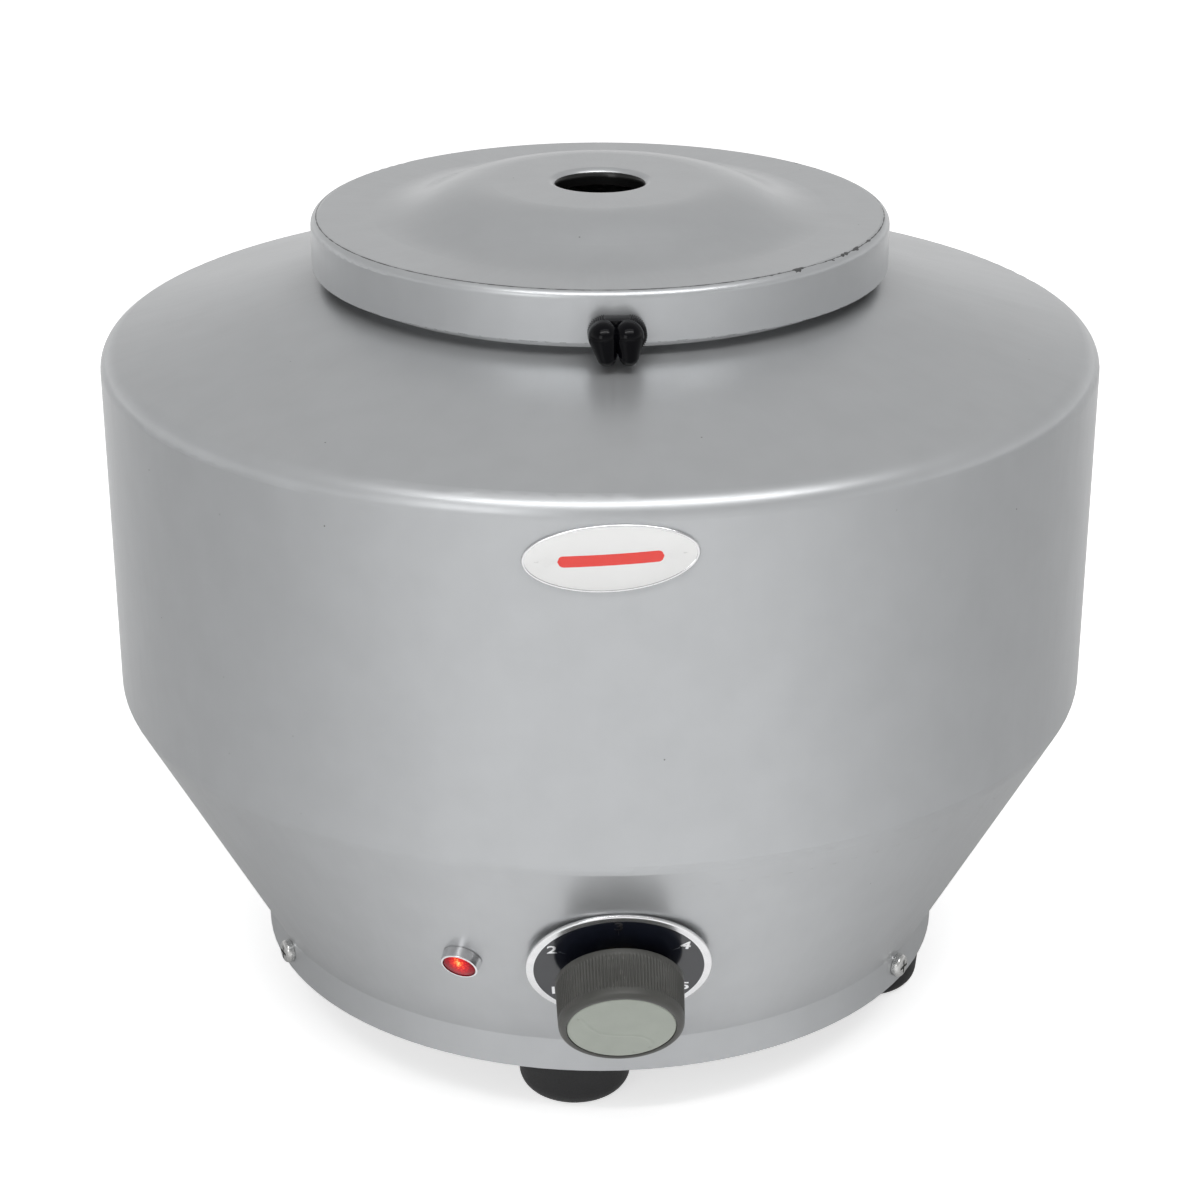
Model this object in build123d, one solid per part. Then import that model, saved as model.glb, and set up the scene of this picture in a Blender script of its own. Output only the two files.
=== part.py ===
from build123d import *
import math
import os

# A clinical bench centrifuge, in millimetres and degrees. Z is up, the front faces -Y and the
# feet stand on z = 0. An azimuth is the angle round Z from the front, positive towards +X.

# Fits that several pieces share
RUN_FIT = 0.05          # radial clearance of a pin that turns in its bearing
SCREW_FIT = 0.2         # radial clearance of a screw in its hole
AIR = 0.3               # gap between pieces that only pass each other
SEAT = 0.1              # gap left where a flat seat meets a curved sheet

# Casing, two sheets spun on a lathe
FOOT_HEIGHT = 20.8
SHEET = 1.5
BAND_R = 119.0
BAND_HEIGHT = 11.5
BODY_R = 165.0
CONE_HEIGHT = 85.9
WALL_HEIGHT = 116.4
DOME_SLOPE = 15.7
NECK_R = 88.0
SHOULDER_BEND = 5.7     # inside radius of the shoulder and of the corner above the cone
SMALL_BEND = 1.5
SEAM_DROP = 8.0         # the weld lies this far below the corner

# Lid, its gasket and its seat
LID_OVERHANG = 6.8
LID_SHEET = 1.2
LID_EDGE_BEND = 1.5
SKIRT_GAP = 5.1
CROWN_R = 45.0
CROWN_FOOT_R = 66.0
CROWN_RISE = 9.8
CROWN_BEND = 40.0
LID_HOLE_R = 14.4
LID_LIP = 2.6
GASKET_WALL = 1.3
GASKET_SKIRT = 4.3
GASKET_TOP = 2.1
KEEPER_TO_GASKET = 1.1

# Lid hinge
HINGE_OFFSET = 9.2      # from the lid's skirt back to the pin
HINGE_RISE = 3.1        # from the skirt's edge up to the pin
HINGE_PIN_R = 2.0
PIN_HEAD_R = 2.8
PIN_HEAD_SHEET = 1.0
KNUCKLE_R = 3.6
KNUCKLE_WIDTH = 16.0
LUG_WIDTH = 3.0
LUG_FOOT = 16.0         # from the pin down to below the dome's face
LEAF_WIDTH = 24.0
LEAF_SHEET = 1.5
BRACKET_SHEET = 1.5
BRACKET_DEPTH = 18.0

# Lid latch
LATCH_STEM_R = 2.0
COLLAR_R = 7.0
COLLAR_LENGTH = 6.2
COLLAR_TEETH = 40
TOOTH_GAP_R = 0.35
LOBE_R = 4.55
LOBE_APART = 8.2
LOBE_LENGTH = 10.0
LOBE_TIP_R = 1.5
LOBE_TIP_DROP = 5.5
LOBE_TIP_IN = 0.6        # the tips lean towards each other
LOBE_EDGE = 3.0
LATCH_CLEAR = 2.2       # between the turning knob and the dome
LATCH_ASIDE = 0.9       # to the right of the middle
PAWL_LENGTH = 5.5
PAWL_WIDTH = 2.6
PAWL_SHEET = 1.2
KEEPER_SHEET = 1.5
KEEPER_WIDTH = 3.1
KEEPER_ASIDE = 2.1      # between the open pawl's side and the keeper

# Badge
BADGE_WIDTH = 51.0
BADGE_HEIGHT = 20.6
BADGE_SHEET = 1.5
BADGE_BELOW_SHOULDER = 16.0
BADGE_AZIMUTH = -1.3
BADGE_TILT = 3.5

# Dial, speed knob and regulator, all square to the cone
DIAL_Z = 73.0
DIAL_R = 29.0
DIAL_SHEET = 1.2
KNOB_R = 20.0
KNOB_FACE_R = 19.3
KNOB_LENGTH = 16.5
KNOB_GAP = 5.0          # from the dial to the knob, clear of the bush's nut
KNOB_WALL = 3.0
KNOB_FACE_SHEET = 2.5
KNOB_EDGE = 1.6
KNOB_HUB_R = 7.0
CAP_R = 16.8
CAP_SHEET = 1.4
SPEED_SHAFT_R = 3.0
BUSH_R = 5.0
BUSH_NUT_FLATS = 14.0
BUSH_NUT_HEIGHT = 3.0
REGULATOR_R = 20.0
REGULATOR_BORE_R = 15.0
REGULATOR_DEPTH = 12.0
REGULATOR_BACK = 4.0    # from the cone's outer face to the regulator's front
REGULATOR_WEB = 3.0
WINDING_SHEET = 0.8
WINDING_GAP_ANGLE = 60.0
WIPER_SHEET = 1.2
WIPER_WIDTH = 5.0

# Pilot lamp
LAMP_AZIMUTH = -20.3
LAMP_Z = 71.0
LAMP_LENS_R = 5.4
LAMP_BARREL_WALL = 0.4
LAMP_FLANGE = 0.6       # the bezel's foot, past its barrel
LAMP_BEZEL_HEIGHT = 3.4
LAMP_EDGE = 0.2
LAMP_DOME = 0.5
LAMP_BARREL_LENGTH = 12.0
LAMP_BODY_LENGTH = 20.0
LAMP_NUT_FLATS = 14.0
LAMP_NUT_HEIGHT = 2.5
LAMP_TAG = (2.4, 0.8, 6.0)

# Mains inlet
GROMMET_Z = 50.0
GROMMET_BORE_R = 4.0
GROMMET_WALL = 1.5
GROMMET_LIP = 2.5
GROMMET_LIP_SHEET = 2.5

# Base pan, screws and feet
PAN_RIM = 10.7
PAN_GAP = 0.2
SCREW_R = 2.0
SCREW_HEAD_R = 4.0
SCREW_HEAD_HEIGHT = 2.8
SCREW_CROSS = 0.9
NUT_FLATS = 7.0
NUT_HEIGHT = 3.2
BAND_SCREW_RISE = 6.7   # above the band's lower edge
BAND_SCREW_LENGTH = 11.0
BAND_SCREW_AZIMUTHS = (56.0, -66.0, 175.0)
FEET = ((-7.6, 92.0), (74.0, 97.0), (172.4, 92.0), (254.0, 97.0))  # azimuth, distance out
FOOT_TOP_R = 20.0
FOOT_BASE_R = 18.0
FOOT_EDGE = 6.5
FOOT_RECESS_R = 5.2
FOOT_RECESS = 9.0
VENT_COUNT = 8
VENT_LENGTH = 22.0
VENT_WIDTH = 6.0
VENT_CIRCLE = 27.0

# Motor, upright on the axis
ISOLATOR_R = 8.0
ISOLATOR_HEIGHT = 14.5
ISOLATOR_CIRCLE = 52.0
ISOLATOR_AZIMUTHS = (60.0, 180.0, 300.0)
ISOLATOR_BOLT_R = 2.5
ISOLATOR_NUT_FLATS = 8.0
MOTOR_PLATE = 3.0
MOTOR_PLATE_R = 62.0
STATOR_R = 42.0
SKIRT_WALL = 6.0
STATOR_WALL = 7.0
LOWER_SKIRT = 35.0
WINDOW_WIDTH = 28.0
WINDOW_EDGE = 5.0
STATOR_LENGTH = 36.0
UPPER_SKIRT = 8.0
HOUSING_WALL = 3.5
BEARING_R = 11.0
BEARING_WIDTH = 7.0
BEARING_SEAT = 1.0
SHAFT_R = 4.0
RACE_SHEET = 1.8
BALL_COUNT = 8
BALL_GAP = 0.05
MOTOR_BOLT_R = 2.0
MOTOR_BOLT_AZIMUTHS = (45.0, 225.0)
COIL_DEPTH = 7.0
ARMATURE_SLOTS = 12
ARMATURE_SLOT_WIDTH = 2.4
ARMATURE_SLOT_DEPTH = 3.0
POLE_GAP = 0.6
POLE_SHOE = 3.4
POLE_WIDTH = 26.0
POLE_ARC = 100.0
COIL_SHEET = 4.5
COIL_END = 5.5
WINDING_END = 6.0
COMMUTATOR_R = 14.0
COMMUTATOR_LENGTH = 14.0
COMMUTATOR_GAP = 8.0    # between the armature core and the commutator
BRUSH_WIDTH = 5.0
BRUSH_HEIGHT = 8.0
BRUSH_LENGTH = 14.0
BRUSH_CLEAR = 0.1
HOLDER_WALL = 1.5
HOLDER_START = 17.0
HOLDER_PROUD = 8.0      # past the motor's skirt
SPRING_R = 2.0
SPRING_BORE_R = 1.4
FAN_R = 38.0
FAN_HUB_R = 9.0
FAN_SHEET = 1.2
FAN_BLADES = 8
FAN_CLEAR = 3.0

# Chamber floor with the cowl over the motor
FLOOR_DROP = 16.2       # from the corner above the cone down to the floor
FLOOR_SHEET = 1.2
FLOOR_FLANGE = 9.0
FLOOR_BEND = 2.0
COWL_GAP = 2.5
COWL_CLEAR = 14.0
COWL_SHAFT_GAP = 5.0

# Swing-out head and its four buckets
BUCKETS = 4
BUCKET_FIRST_AZIMUTH = 0.0
PIVOT_R = 61.0
BUCKET_FLOOR_GAP = 3.0
BUCKET_WALL_GAP = 7.5
TUBE_R = 9.0
SHIELD_WALL = 1.0
SHIELD_FLANGE = 1.8
SHIELD_FLANGE_SHEET = 2.0
SHIELD_END_BEND = 4.0
CUSHION_HEIGHT = 3.0
CUSHION_GAP = 0.2
RING_GAP = 0.1
RING_WALL = 2.3
RING_HALF_HEIGHT = 6.0
TRUNNION_R = 2.45
TRUNNION_OVERRUN = 0.5
NOTCH_FIT = 0.15
FORK_GAP = 0.6
FORK_SHEET = 5.0
FORK_REACH = 7.0
FORK_HALF_HEIGHT = 6.0
FORK_FOOT = 10.0
HEAD_SHEET = 5.0
HEAD_SWING_GAP = 1.7
HEAD_HUB_R = 13.0
HEAD_HUB_HEIGHT = 20.0
HEAD_HUB_RISE = 9.0
ROTOR_NUT_HEIGHT = 14.0
ROTOR_NUT_FLATS = 17.0

# Terminal block and leads
BLOCK_LENGTH = 30.0
BLOCK_DEPTH = 12.0
BLOCK_HEIGHT = 13.0
BLOCK_PITCH = 9.3
BLOCK_POLE_R = 1.6
BLOCK_Y = 70.0
LEAD_R = 1.2

# Heights and radii that follow from the sizes above
BAND_TOP = FOOT_HEIGHT + BAND_HEIGHT
CONE_TOP = BAND_TOP + CONE_HEIGHT
SHOULDER_Z = CONE_TOP + WALL_HEIGHT
CONE_LEAN = math.atan2(BODY_R - BAND_R, CONE_HEIGHT)
LID_R = NECK_R + LID_OVERHANG
ON_BASE = (Align.CENTER, Align.CENTER, Align.MIN)


def cone_r(z):
    """Outer radius of the cone at a height."""
    return BAND_R + (z - BAND_TOP) * math.tan(CONE_LEAN)


def dome_z(radius):
    """Height of the dome's outer face at a radius."""
    return SHOULDER_Z + (BODY_R - radius) * math.tan(math.radians(DOME_SLOPE))


LOBE_START = LID_R + AIR + COLLAR_LENGTH
LOBE_REACH = math.hypot(LOBE_APART / 2 - LOBE_TIP_IN, LOBE_TIP_DROP) + LOBE_TIP_R
LATCH_Z = max(dome_z(LID_R) + COLLAR_R, dome_z(LOBE_START) + LOBE_REACH) + LATCH_CLEAR
KEEPER_Z = LATCH_Z + PAWL_WIDTH / 2 + AIR
GASKET_BOTTOM = KEEPER_Z + KEEPER_SHEET + KEEPER_TO_GASKET
NECK_TOP = GASKET_BOTTOM + GASKET_SKIRT
LID_UNDERSIDE = NECK_TOP + GASKET_TOP + AIR
LID_TOP = LID_UNDERSIDE + LID_SHEET
SKIRT_BOTTOM = dome_z(LID_R) + SKIRT_GAP
HINGE_Y = LID_R + HINGE_OFFSET
HINGE_Z = SKIRT_BOTTOM + HINGE_RISE

PAN_TOP = FOOT_HEIGHT + SHEET
PLATE_Z = PAN_TOP + ISOLATOR_HEIGHT
PLATE_TOP = PLATE_Z + MOTOR_PLATE
STATOR_Z = PLATE_TOP + LOWER_SKIRT
STATOR_TOP = STATOR_Z + STATOR_LENGTH
UPPER_PLATE_Z = STATOR_TOP + UPPER_SKIRT
UPPER_PLATE_TOP = UPPER_PLATE_Z + MOTOR_PLATE
HOUSING_R = BEARING_R + HOUSING_WALL
LOWER_BEARING_Z = PLATE_TOP + BEARING_SEAT
UPPER_BEARING_Z = UPPER_PLATE_TOP + BEARING_SEAT
MOTOR_TOP = UPPER_BEARING_Z + BEARING_WIDTH + 2 * BEARING_SEAT
SKIRT_INNER_R = STATOR_R - SKIRT_WALL
BOLT_CIRCLE = STATOR_R - SKIRT_WALL / 2
POLE_FACE_R = STATOR_R - STATOR_WALL - COIL_DEPTH - POLE_SHOE
ARMATURE_R = POLE_FACE_R - POLE_GAP
HOLDER_END = STATOR_R + HOLDER_PROUD
COMMUTATOR_TOP = STATOR_Z - COMMUTATOR_GAP
BRUSH_Z = COMMUTATOR_TOP - COMMUTATOR_LENGTH / 2
HOLDER_WIDTH = BRUSH_WIDTH + 2 * (BRUSH_CLEAR + HOLDER_WALL)
HOLDER_HEIGHT = BRUSH_HEIGHT + 2 * (BRUSH_CLEAR + HOLDER_WALL)

FLOOR_Z = CONE_TOP - FLOOR_DROP
COWL_R = STATOR_R + COWL_GAP + FLOOR_SHEET
COWL_TOP = MOTOR_TOP + COWL_CLEAR

SHIELD_R = TUBE_R + SHIELD_WALL
FLANGE_R = SHIELD_R + SHIELD_FLANGE
FLANGE_TOP = RING_HALF_HEIGHT + SHIELD_FLANGE_SHEET
RING_R = SHIELD_R + RING_GAP + RING_WALL
FORK_INNER = RING_R + FORK_GAP
FORK_OUTER = FORK_INNER + FORK_SHEET
BUCKET_DROP = BODY_R - SHEET - BUCKET_WALL_GAP - PIVOT_R
PIVOT_Z = FLOOR_Z + BUCKET_FLOOR_GAP + BUCKET_DROP
HEAD_R = PIVOT_R - math.hypot(FLANGE_R, FLANGE_TOP) - HEAD_SWING_GAP
HEAD_TOP = PIVOT_Z - HEAD_SHEET
HUB_TOP = HEAD_TOP + HEAD_HUB_RISE
HUB_Z = HUB_TOP - HEAD_HUB_HEIGHT


# Helpers

def disc(radius, low, high):
    """A solid cylinder on the Z axis, from one height to another."""
    return Pos(0, 0, low) * Cylinder(radius, high - low, align=ON_BASE)


def tube(outer, inner, low, high):
    """A hollow cylinder on the Z axis."""
    return disc(outer, low, high) - disc(inner, low, high)


def block(x, y, z):
    """A box between two values along each axis."""
    middle = [(low + high) / 2 for low, high in (x, y, z)]
    return Pos(*middle) * Box(x[1] - x[0], y[1] - y[0], z[1] - z[0])


def turned(azimuth):
    """Carries a piece made at the front round the Z axis."""
    return Rot(0, 0, azimuth)


def cone_frame(height):
    """At the front of the cone: X is +X and Z points straight out of the sheet."""
    out = (0, -math.cos(CONE_LEAN), -math.sin(CONE_LEAN))
    return Plane(origin=(0, -cone_r(height), height), x_dir=(1, 0, 0), z_dir=out).location


def front_frame(radius, height):
    """Square to a front tangent: X is +X, Y is up and Z points forwards."""
    return Plane(origin=(0, -radius, height), x_dir=(1, 0, 0), z_dir=(0, -1, 0)).location


def lathe(line):
    """Spins a closed list of (radius, height) points about Z."""
    return revolve(Plane.XZ * make_face(Polyline(*line, close=True)), Axis.Z)


def offset_path(path, distance):
    """The path moved to its left by a distance, with mitred corners."""
    steps = [(Vector(*b) - Vector(*a)).normalized() for a, b in zip(path, path[1:])]
    lefts = [Vector(-step.Y, step.X) for step in steps]
    moved = [Vector(*path[0]) + lefts[0] * distance]
    for point, before, after in zip(path[1:-1], lefts, lefts[1:]):
        moved.append(Vector(*point) + (before + after) * (distance / (1 + before.dot(after))))
    moved.append(Vector(*path[-1]) + lefts[-1] * distance)
    return [(point.X, point.Y) for point in moved]


def turns_left(path, corner):
    """Whether the path bends to its left at a corner."""
    before = Vector(*path[corner]) - Vector(*path[corner - 1])
    after = Vector(*path[corner + 1]) - Vector(*path[corner])
    return before.X * after.Y - before.Y * after.X > 0


def spun_sheet(path, bends, sheet, left=True):
    """Sheet spun about Z. The path is one of its faces, as (radius, height) points, the bends are
    its inside radii, and the sheet lies to the left or the right of the path."""
    back = offset_path(path, sheet if left else -sheet)
    path_radii = []
    back_radii = []
    for corner, bend in enumerate(bends, 1):
        outside = turns_left(path, corner) == left
        path_radii.append(bend + sheet if outside else bend)
        back_radii.append(bend if outside else bend + sheet)
    faces = [FilletPolyline(*path, radius=path_radii), FilletPolyline(*back, radius=back_radii)]
    ends = [Line(path[0], back[0]), Line(path[-1], back[-1])]
    return revolve(Plane.XZ * make_face(faces + ends), Axis.Z)


def hex_nut(flats, height, bore_r):
    """A nut that stands on its local z = 0."""
    body = extrude(RegularPolygon(flats / 2, 6, major_radius=False), height)
    return body - Cylinder(bore_r, height, align=ON_BASE)


def pan_screw(length):
    """A cross-head screw: its head stands on local z = 0 and its shank hangs below."""
    head = Cylinder(SCREW_HEAD_R, SCREW_HEAD_HEIGHT, align=ON_BASE)
    head = fillet(head.edges().group_by(Axis.Z)[-1], SCREW_HEAD_HEIGHT * 0.6)
    for angle in (0, 90):
        slot = Box(SCREW_HEAD_R * 1.2, SCREW_CROSS, SCREW_HEAD_HEIGHT)
        head -= Pos(0, 0, SCREW_HEAD_HEIGHT) * Rot(0, 0, angle) * slot
    return head + Pos(0, 0, -length) * Cylinder(SCREW_R, length, align=ON_BASE)


def group(shapes):
    """Separate solids that share one node."""
    return Compound(children=[solid for shape in shapes for solid in shape.solids()])


# Casing

def seam_point():
    """Where the two casings are welded, on the cone just below its corner."""
    height = CONE_TOP - SEAM_DROP
    return (cone_r(height), height)


def upper_casing():
    """The wall, the shoulder and the dome, open where the neck ring stands."""
    outline = [
        seam_point(),
        (BODY_R, CONE_TOP),
        (BODY_R, SHOULDER_Z),
        (NECK_R, dome_z(NECK_R)),
    ]
    shell = spun_sheet(outline, [SHOULDER_BEND, SHOULDER_BEND], SHEET)
    return shell - disc(NECK_R, SHOULDER_Z, NECK_TOP)


def neck_ring():
    """A rolled band welded upright in the dome's mouth, with the lip that the pawl catches."""
    foot = dome_z(NECK_R) - SHEET / math.cos(math.radians(DOME_SLOPE))
    lip_x = LATCH_ASIDE + PAWL_WIDTH / 2 + KEEPER_ASIDE
    lip = block(
        (lip_x, lip_x + KEEPER_WIDTH), (-pawl_y(), 0), (KEEPER_Z, KEEPER_Z + KEEPER_SHEET)
    )
    ring = disc(NECK_R, foot, NECK_TOP) + lip
    return ring - disc(NECK_R - SHEET, foot, NECK_TOP)


def lower_casing():
    outline = [(BAND_R, FOOT_HEIGHT), (BAND_R, BAND_TOP), seam_point()]
    shell = spun_sheet(outline, [SMALL_BEND], SHEET)
    deep = 6 * SHEET
    hole = Cylinder(BUSH_R + SCREW_FIT, deep)
    shell -= cone_frame(DIAL_Z) * hole
    shell -= lamp_frame() * Cylinder(lamp_barrel_r(), deep)
    shell -= turned(180) * cone_frame(GROMMET_Z) * Cylinder(grommet_neck_r(), deep)
    for azimuth in BAND_SCREW_AZIMUTHS:
        shell -= turned(azimuth) * band_screw_frame() * Cylinder(SCREW_R + SCREW_FIT, deep)
    return shell


def dome_skin(inner_r, outer_r, sheet):
    """A sheet that lies on the dome between two radii."""
    ends = [(radius, dome_z(radius)) for radius in (inner_r, outer_r)]
    raised = offset_path(ends, sheet)
    return lathe([ends[0], ends[1], raised[1], raised[0]])


def under_dome():
    """Everything below the dome's outer face, to cut a foot to its slope."""
    top = [(0, dome_z(0)), (BODY_R, dome_z(BODY_R)), (BODY_R, 0), (0, 0)]
    return lathe(top)


def neck_gasket():
    """A rubber channel pressed over the neck's edge."""
    outer = NECK_R + GASKET_WALL
    inner = NECK_R - SHEET - GASKET_WALL
    ring = tube(outer, inner, GASKET_BOTTOM, NECK_TOP + GASKET_TOP)
    ring = fillet(ring.edges().group_by(Axis.Z)[-1], GASKET_WALL * 0.6)
    return ring - tube(NECK_R, NECK_R - SHEET, GASKET_BOTTOM, NECK_TOP)


def chamber_floor():
    """The bowl's floor, with the cowl over the motor and a flange welded to the cone."""
    cone_lining = SHEET / math.cos(CONE_LEAN)
    flange_z = FLOOR_Z - FLOOR_FLANGE
    outline = [
        (SHAFT_R + COWL_SHAFT_GAP, COWL_TOP),
        (COWL_R, COWL_TOP),
        (COWL_R, FLOOR_Z),
        (cone_r(FLOOR_Z) - cone_lining, FLOOR_Z),
        (cone_r(flange_z) - cone_lining, flange_z),
    ]
    return spun_sheet(outline, [FLOOR_BEND, FLOOR_BEND, 0], FLOOR_SHEET, left=False)


# Lid and hinge

def lid():
    crown_z = LID_TOP + CROWN_RISE
    outline = [
        (LID_HOLE_R, crown_z - LID_LIP - SMALL_BEND - LID_SHEET),
        (LID_HOLE_R, crown_z),
        (CROWN_R, crown_z),
        (CROWN_FOOT_R, LID_TOP),
        (LID_R, LID_TOP),
        (LID_R, SKIRT_BOTTOM),
    ]
    bends = [SMALL_BEND, CROWN_BEND, CROWN_BEND, LID_EDGE_BEND]
    shell = spun_sheet(outline, bends, LID_SHEET, left=False)
    stem_hole = Cylinder(LATCH_STEM_R + RUN_FIT, 6 * LID_SHEET)
    return shell - latch_frame(LID_R) * stem_hole


def across(radius, width, y, z):
    """A cylinder along X, centred on x = 0."""
    return Pos(0, y, z) * Rot(0, 90, 0) * Cylinder(radius, width)


def lid_hinge_leaf():
    """A plate on the lid's skirt with an arm back to the pin."""
    half = LEAF_WIDTH / 2
    knuckle = KNUCKLE_WIDTH / 2
    plate_top = LID_TOP - LID_EDGE_BEND - LID_SHEET
    plate = block((-half, half), (0, LID_R + LEAF_SHEET), (SKIRT_BOTTOM + 1, plate_top))
    arm_z = (HINGE_Z - KNUCKLE_R / 2, HINGE_Z + KNUCKLE_R / 2)
    arm = block((-knuckle, knuckle), (0, HINGE_Y), arm_z)
    leaf = plate + arm - disc(LID_R, SKIRT_BOTTOM - 1, LID_TOP + 1)
    leaf -= block((-half, half), (-LID_R, LID_R / 2), (SKIRT_BOTTOM - 1, LID_TOP + 1))
    leaf += across(KNUCKLE_R, KNUCKLE_WIDTH, HINGE_Y, HINGE_Z)
    return leaf - across(HINGE_PIN_R + RUN_FIT, KNUCKLE_WIDTH + 1, HINGE_Y, HINGE_Z)


def lug_outer_x():
    return KNUCKLE_WIDTH / 2 + AIR + LUG_WIDTH


def lid_bracket():
    """A plate welded to the dome, with a lug each side of the lid's knuckle."""
    inner_y = HINGE_Y - KNUCKLE_R - 1
    half = lug_outer_x() + 4
    plate = dome_skin(inner_y - 2, inner_y + BRACKET_DEPTH + 6, BRACKET_SHEET)
    plate &= block((-half, half), (inner_y, inner_y + BRACKET_DEPTH), (0, HINGE_Z))
    lug = across(KNUCKLE_R, LUG_WIDTH, HINGE_Y, HINGE_Z)
    side = LUG_WIDTH / 2
    lug_y = (HINGE_Y - KNUCKLE_R, HINGE_Y + KNUCKLE_R)
    lug += block((-side, side), lug_y, (HINGE_Z - LUG_FOOT, HINGE_Z))
    offset = lug_outer_x() - side
    bracket = plate + Pos(offset, 0, 0) * lug + Pos(-offset, 0, 0) * lug
    bracket -= under_dome()
    return bracket - across(HINGE_PIN_R, 2 * half, HINGE_Y, HINGE_Z)


def hinge_pin():
    """A pin with a head at each end, fast in the bracket's lugs."""
    half = lug_outer_x()
    pin = across(HINGE_PIN_R, 2 * half, HINGE_Y, HINGE_Z)
    head = across(PIN_HEAD_R, PIN_HEAD_SHEET, HINGE_Y, HINGE_Z)
    end = half + PIN_HEAD_SHEET / 2
    return pin + Pos(end, 0, 0) * head + Pos(-end, 0, 0) * head


# Latch

def latch_frame(radius):
    """The latch's place on the lid's skirt, square to it."""
    return Pos(LATCH_ASIDE, 0, 0) * front_frame(radius, LATCH_Z)


def latch_lobe(side):
    """One lobe of the latch knob: round above and drawn to a point below."""
    wide = Circle(LOBE_R)
    tip = Pos(-side * LOBE_TIP_IN, -LOBE_TIP_DROP) * Circle(LOBE_TIP_R)
    lobe = extrude(make_hull(wide.edges() + tip.edges()), LOBE_LENGTH)
    return fillet(lobe.edges().group_by(Axis.Z)[-1], min(LOBE_EDGE, LOBE_LENGTH * 0.9))


def latch_knob():
    collar = Cylinder(COLLAR_R, COLLAR_LENGTH, align=ON_BASE)
    tooth_gap = Cylinder(TOOTH_GAP_R, COLLAR_LENGTH, align=ON_BASE)
    for tooth in range(COLLAR_TEETH):
        collar -= Rot(0, 0, tooth * 360 / COLLAR_TEETH) * Pos(COLLAR_R, 0, 0) * tooth_gap
    knob = collar
    for side in (-1, 1):
        knob += Pos(side * LOBE_APART / 2, 0, COLLAR_LENGTH) * latch_lobe(side)
    knob -= Cylinder(LATCH_STEM_R, COLLAR_LENGTH, align=ON_BASE)
    return latch_frame(LID_R + AIR) * knob


def pawl_y():
    """Distance of the pawl's front face from the axis, just inside the lid's skirt."""
    return LID_R - LID_SHEET - 2 * AIR


def latch_pawl():
    """The stem through the skirt, with the pawl that turns under the keeper."""
    front = LID_R + AIR + COLLAR_LENGTH
    back = pawl_y() - PAWL_SHEET
    stem = latch_frame(back) * Cylinder(LATCH_STEM_R, front - back, align=ON_BASE)
    sides = (LATCH_ASIDE - PAWL_WIDTH / 2, LATCH_ASIDE + PAWL_WIDTH / 2)
    pawl = block(sides, (-pawl_y(), -back), (LATCH_Z - PAWL_LENGTH, LATCH_Z))
    return stem + pawl


# Front panel

def badge_plate():
    """A domed oval plate that follows the wall."""
    height = SHOULDER_Z - BADGE_BELOW_SHOULDER
    oval = Ellipse(BADGE_WIDTH / 2, BADGE_HEIGHT / 2)
    prism = front_frame(0, height) * Rot(0, 0, BADGE_TILT) * extrude(oval, BODY_R + 10)
    half = BADGE_HEIGHT
    wall = tube(BODY_R + BADGE_SHEET, BODY_R, height - half, height + half)
    return turned(BADGE_AZIMUTH) * (wall & prism)


def dial_plate():
    plate = Cylinder(DIAL_R, DIAL_SHEET, align=ON_BASE)
    plate -= Cylinder(BUSH_R + SCREW_FIT, DIAL_SHEET, align=ON_BASE)
    return cone_frame(DIAL_Z) * Pos(0, 0, SEAT) * plate


def knob_base():
    """Local height of the knob's open end."""
    return SEAT + DIAL_SHEET + KNOB_GAP


def knob_body():
    top = knob_base() + KNOB_LENGTH
    outline = [(0, 0), (KNOB_R, 0), (KNOB_FACE_R, KNOB_LENGTH), (0, KNOB_LENGTH)]
    body = lathe(outline)
    body = fillet(body.edges().group_by(Axis.Z)[-1], KNOB_EDGE)
    face_z = KNOB_LENGTH - CAP_SHEET
    hollow = Cylinder(KNOB_FACE_R - KNOB_WALL, face_z - KNOB_FACE_SHEET, align=ON_BASE)
    hollow -= Cylinder(KNOB_HUB_R, KNOB_LENGTH, align=ON_BASE)
    body -= hollow
    body -= Pos(0, 0, face_z) * Cylinder(CAP_R, CAP_SHEET, align=ON_BASE)
    body -= Cylinder(SPEED_SHAFT_R, face_z - 1, align=ON_BASE)
    return cone_frame(DIAL_Z) * Pos(0, 0, top - KNOB_LENGTH) * body


def knob_cap():
    cap = Cylinder(CAP_R, CAP_SHEET, align=ON_BASE)
    return cone_frame(DIAL_Z) * Pos(0, 0, knob_base() + KNOB_LENGTH - CAP_SHEET) * cap


def wiper_z():
    """Local height of the wiper's front face, behind the regulator's winding."""
    return -(REGULATOR_BACK + REGULATOR_DEPTH + WINDING_SHEET + AIR)


def regulator_shaft():
    """The speed shaft, with its wiper over the back of the winding."""
    front = knob_base() + KNOB_LENGTH - CAP_SHEET - 1
    back = wiper_z() - WIPER_SHEET
    shaft = Pos(0, 0, back) * Cylinder(SPEED_SHAFT_R, front - back, align=ON_BASE)
    half = WIPER_WIDTH / 2
    reach = (REGULATOR_R + REGULATOR_BORE_R) / 2
    wiper = block((-half, half), (-reach, 0), (back, back + WIPER_SHEET))
    return cone_frame(DIAL_Z) * (shaft + wiper)


def regulator_core():
    """The ceramic ring that carries the winding, on a web round the bush."""
    back = -(REGULATOR_BACK + REGULATOR_DEPTH)
    ring = tube(REGULATOR_R, REGULATOR_BORE_R, back, -REGULATOR_BACK)
    ring += tube(REGULATOR_BORE_R, BUSH_R, -REGULATOR_BACK - REGULATOR_WEB, -REGULATOR_BACK)
    return cone_frame(DIAL_Z) * ring


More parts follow.
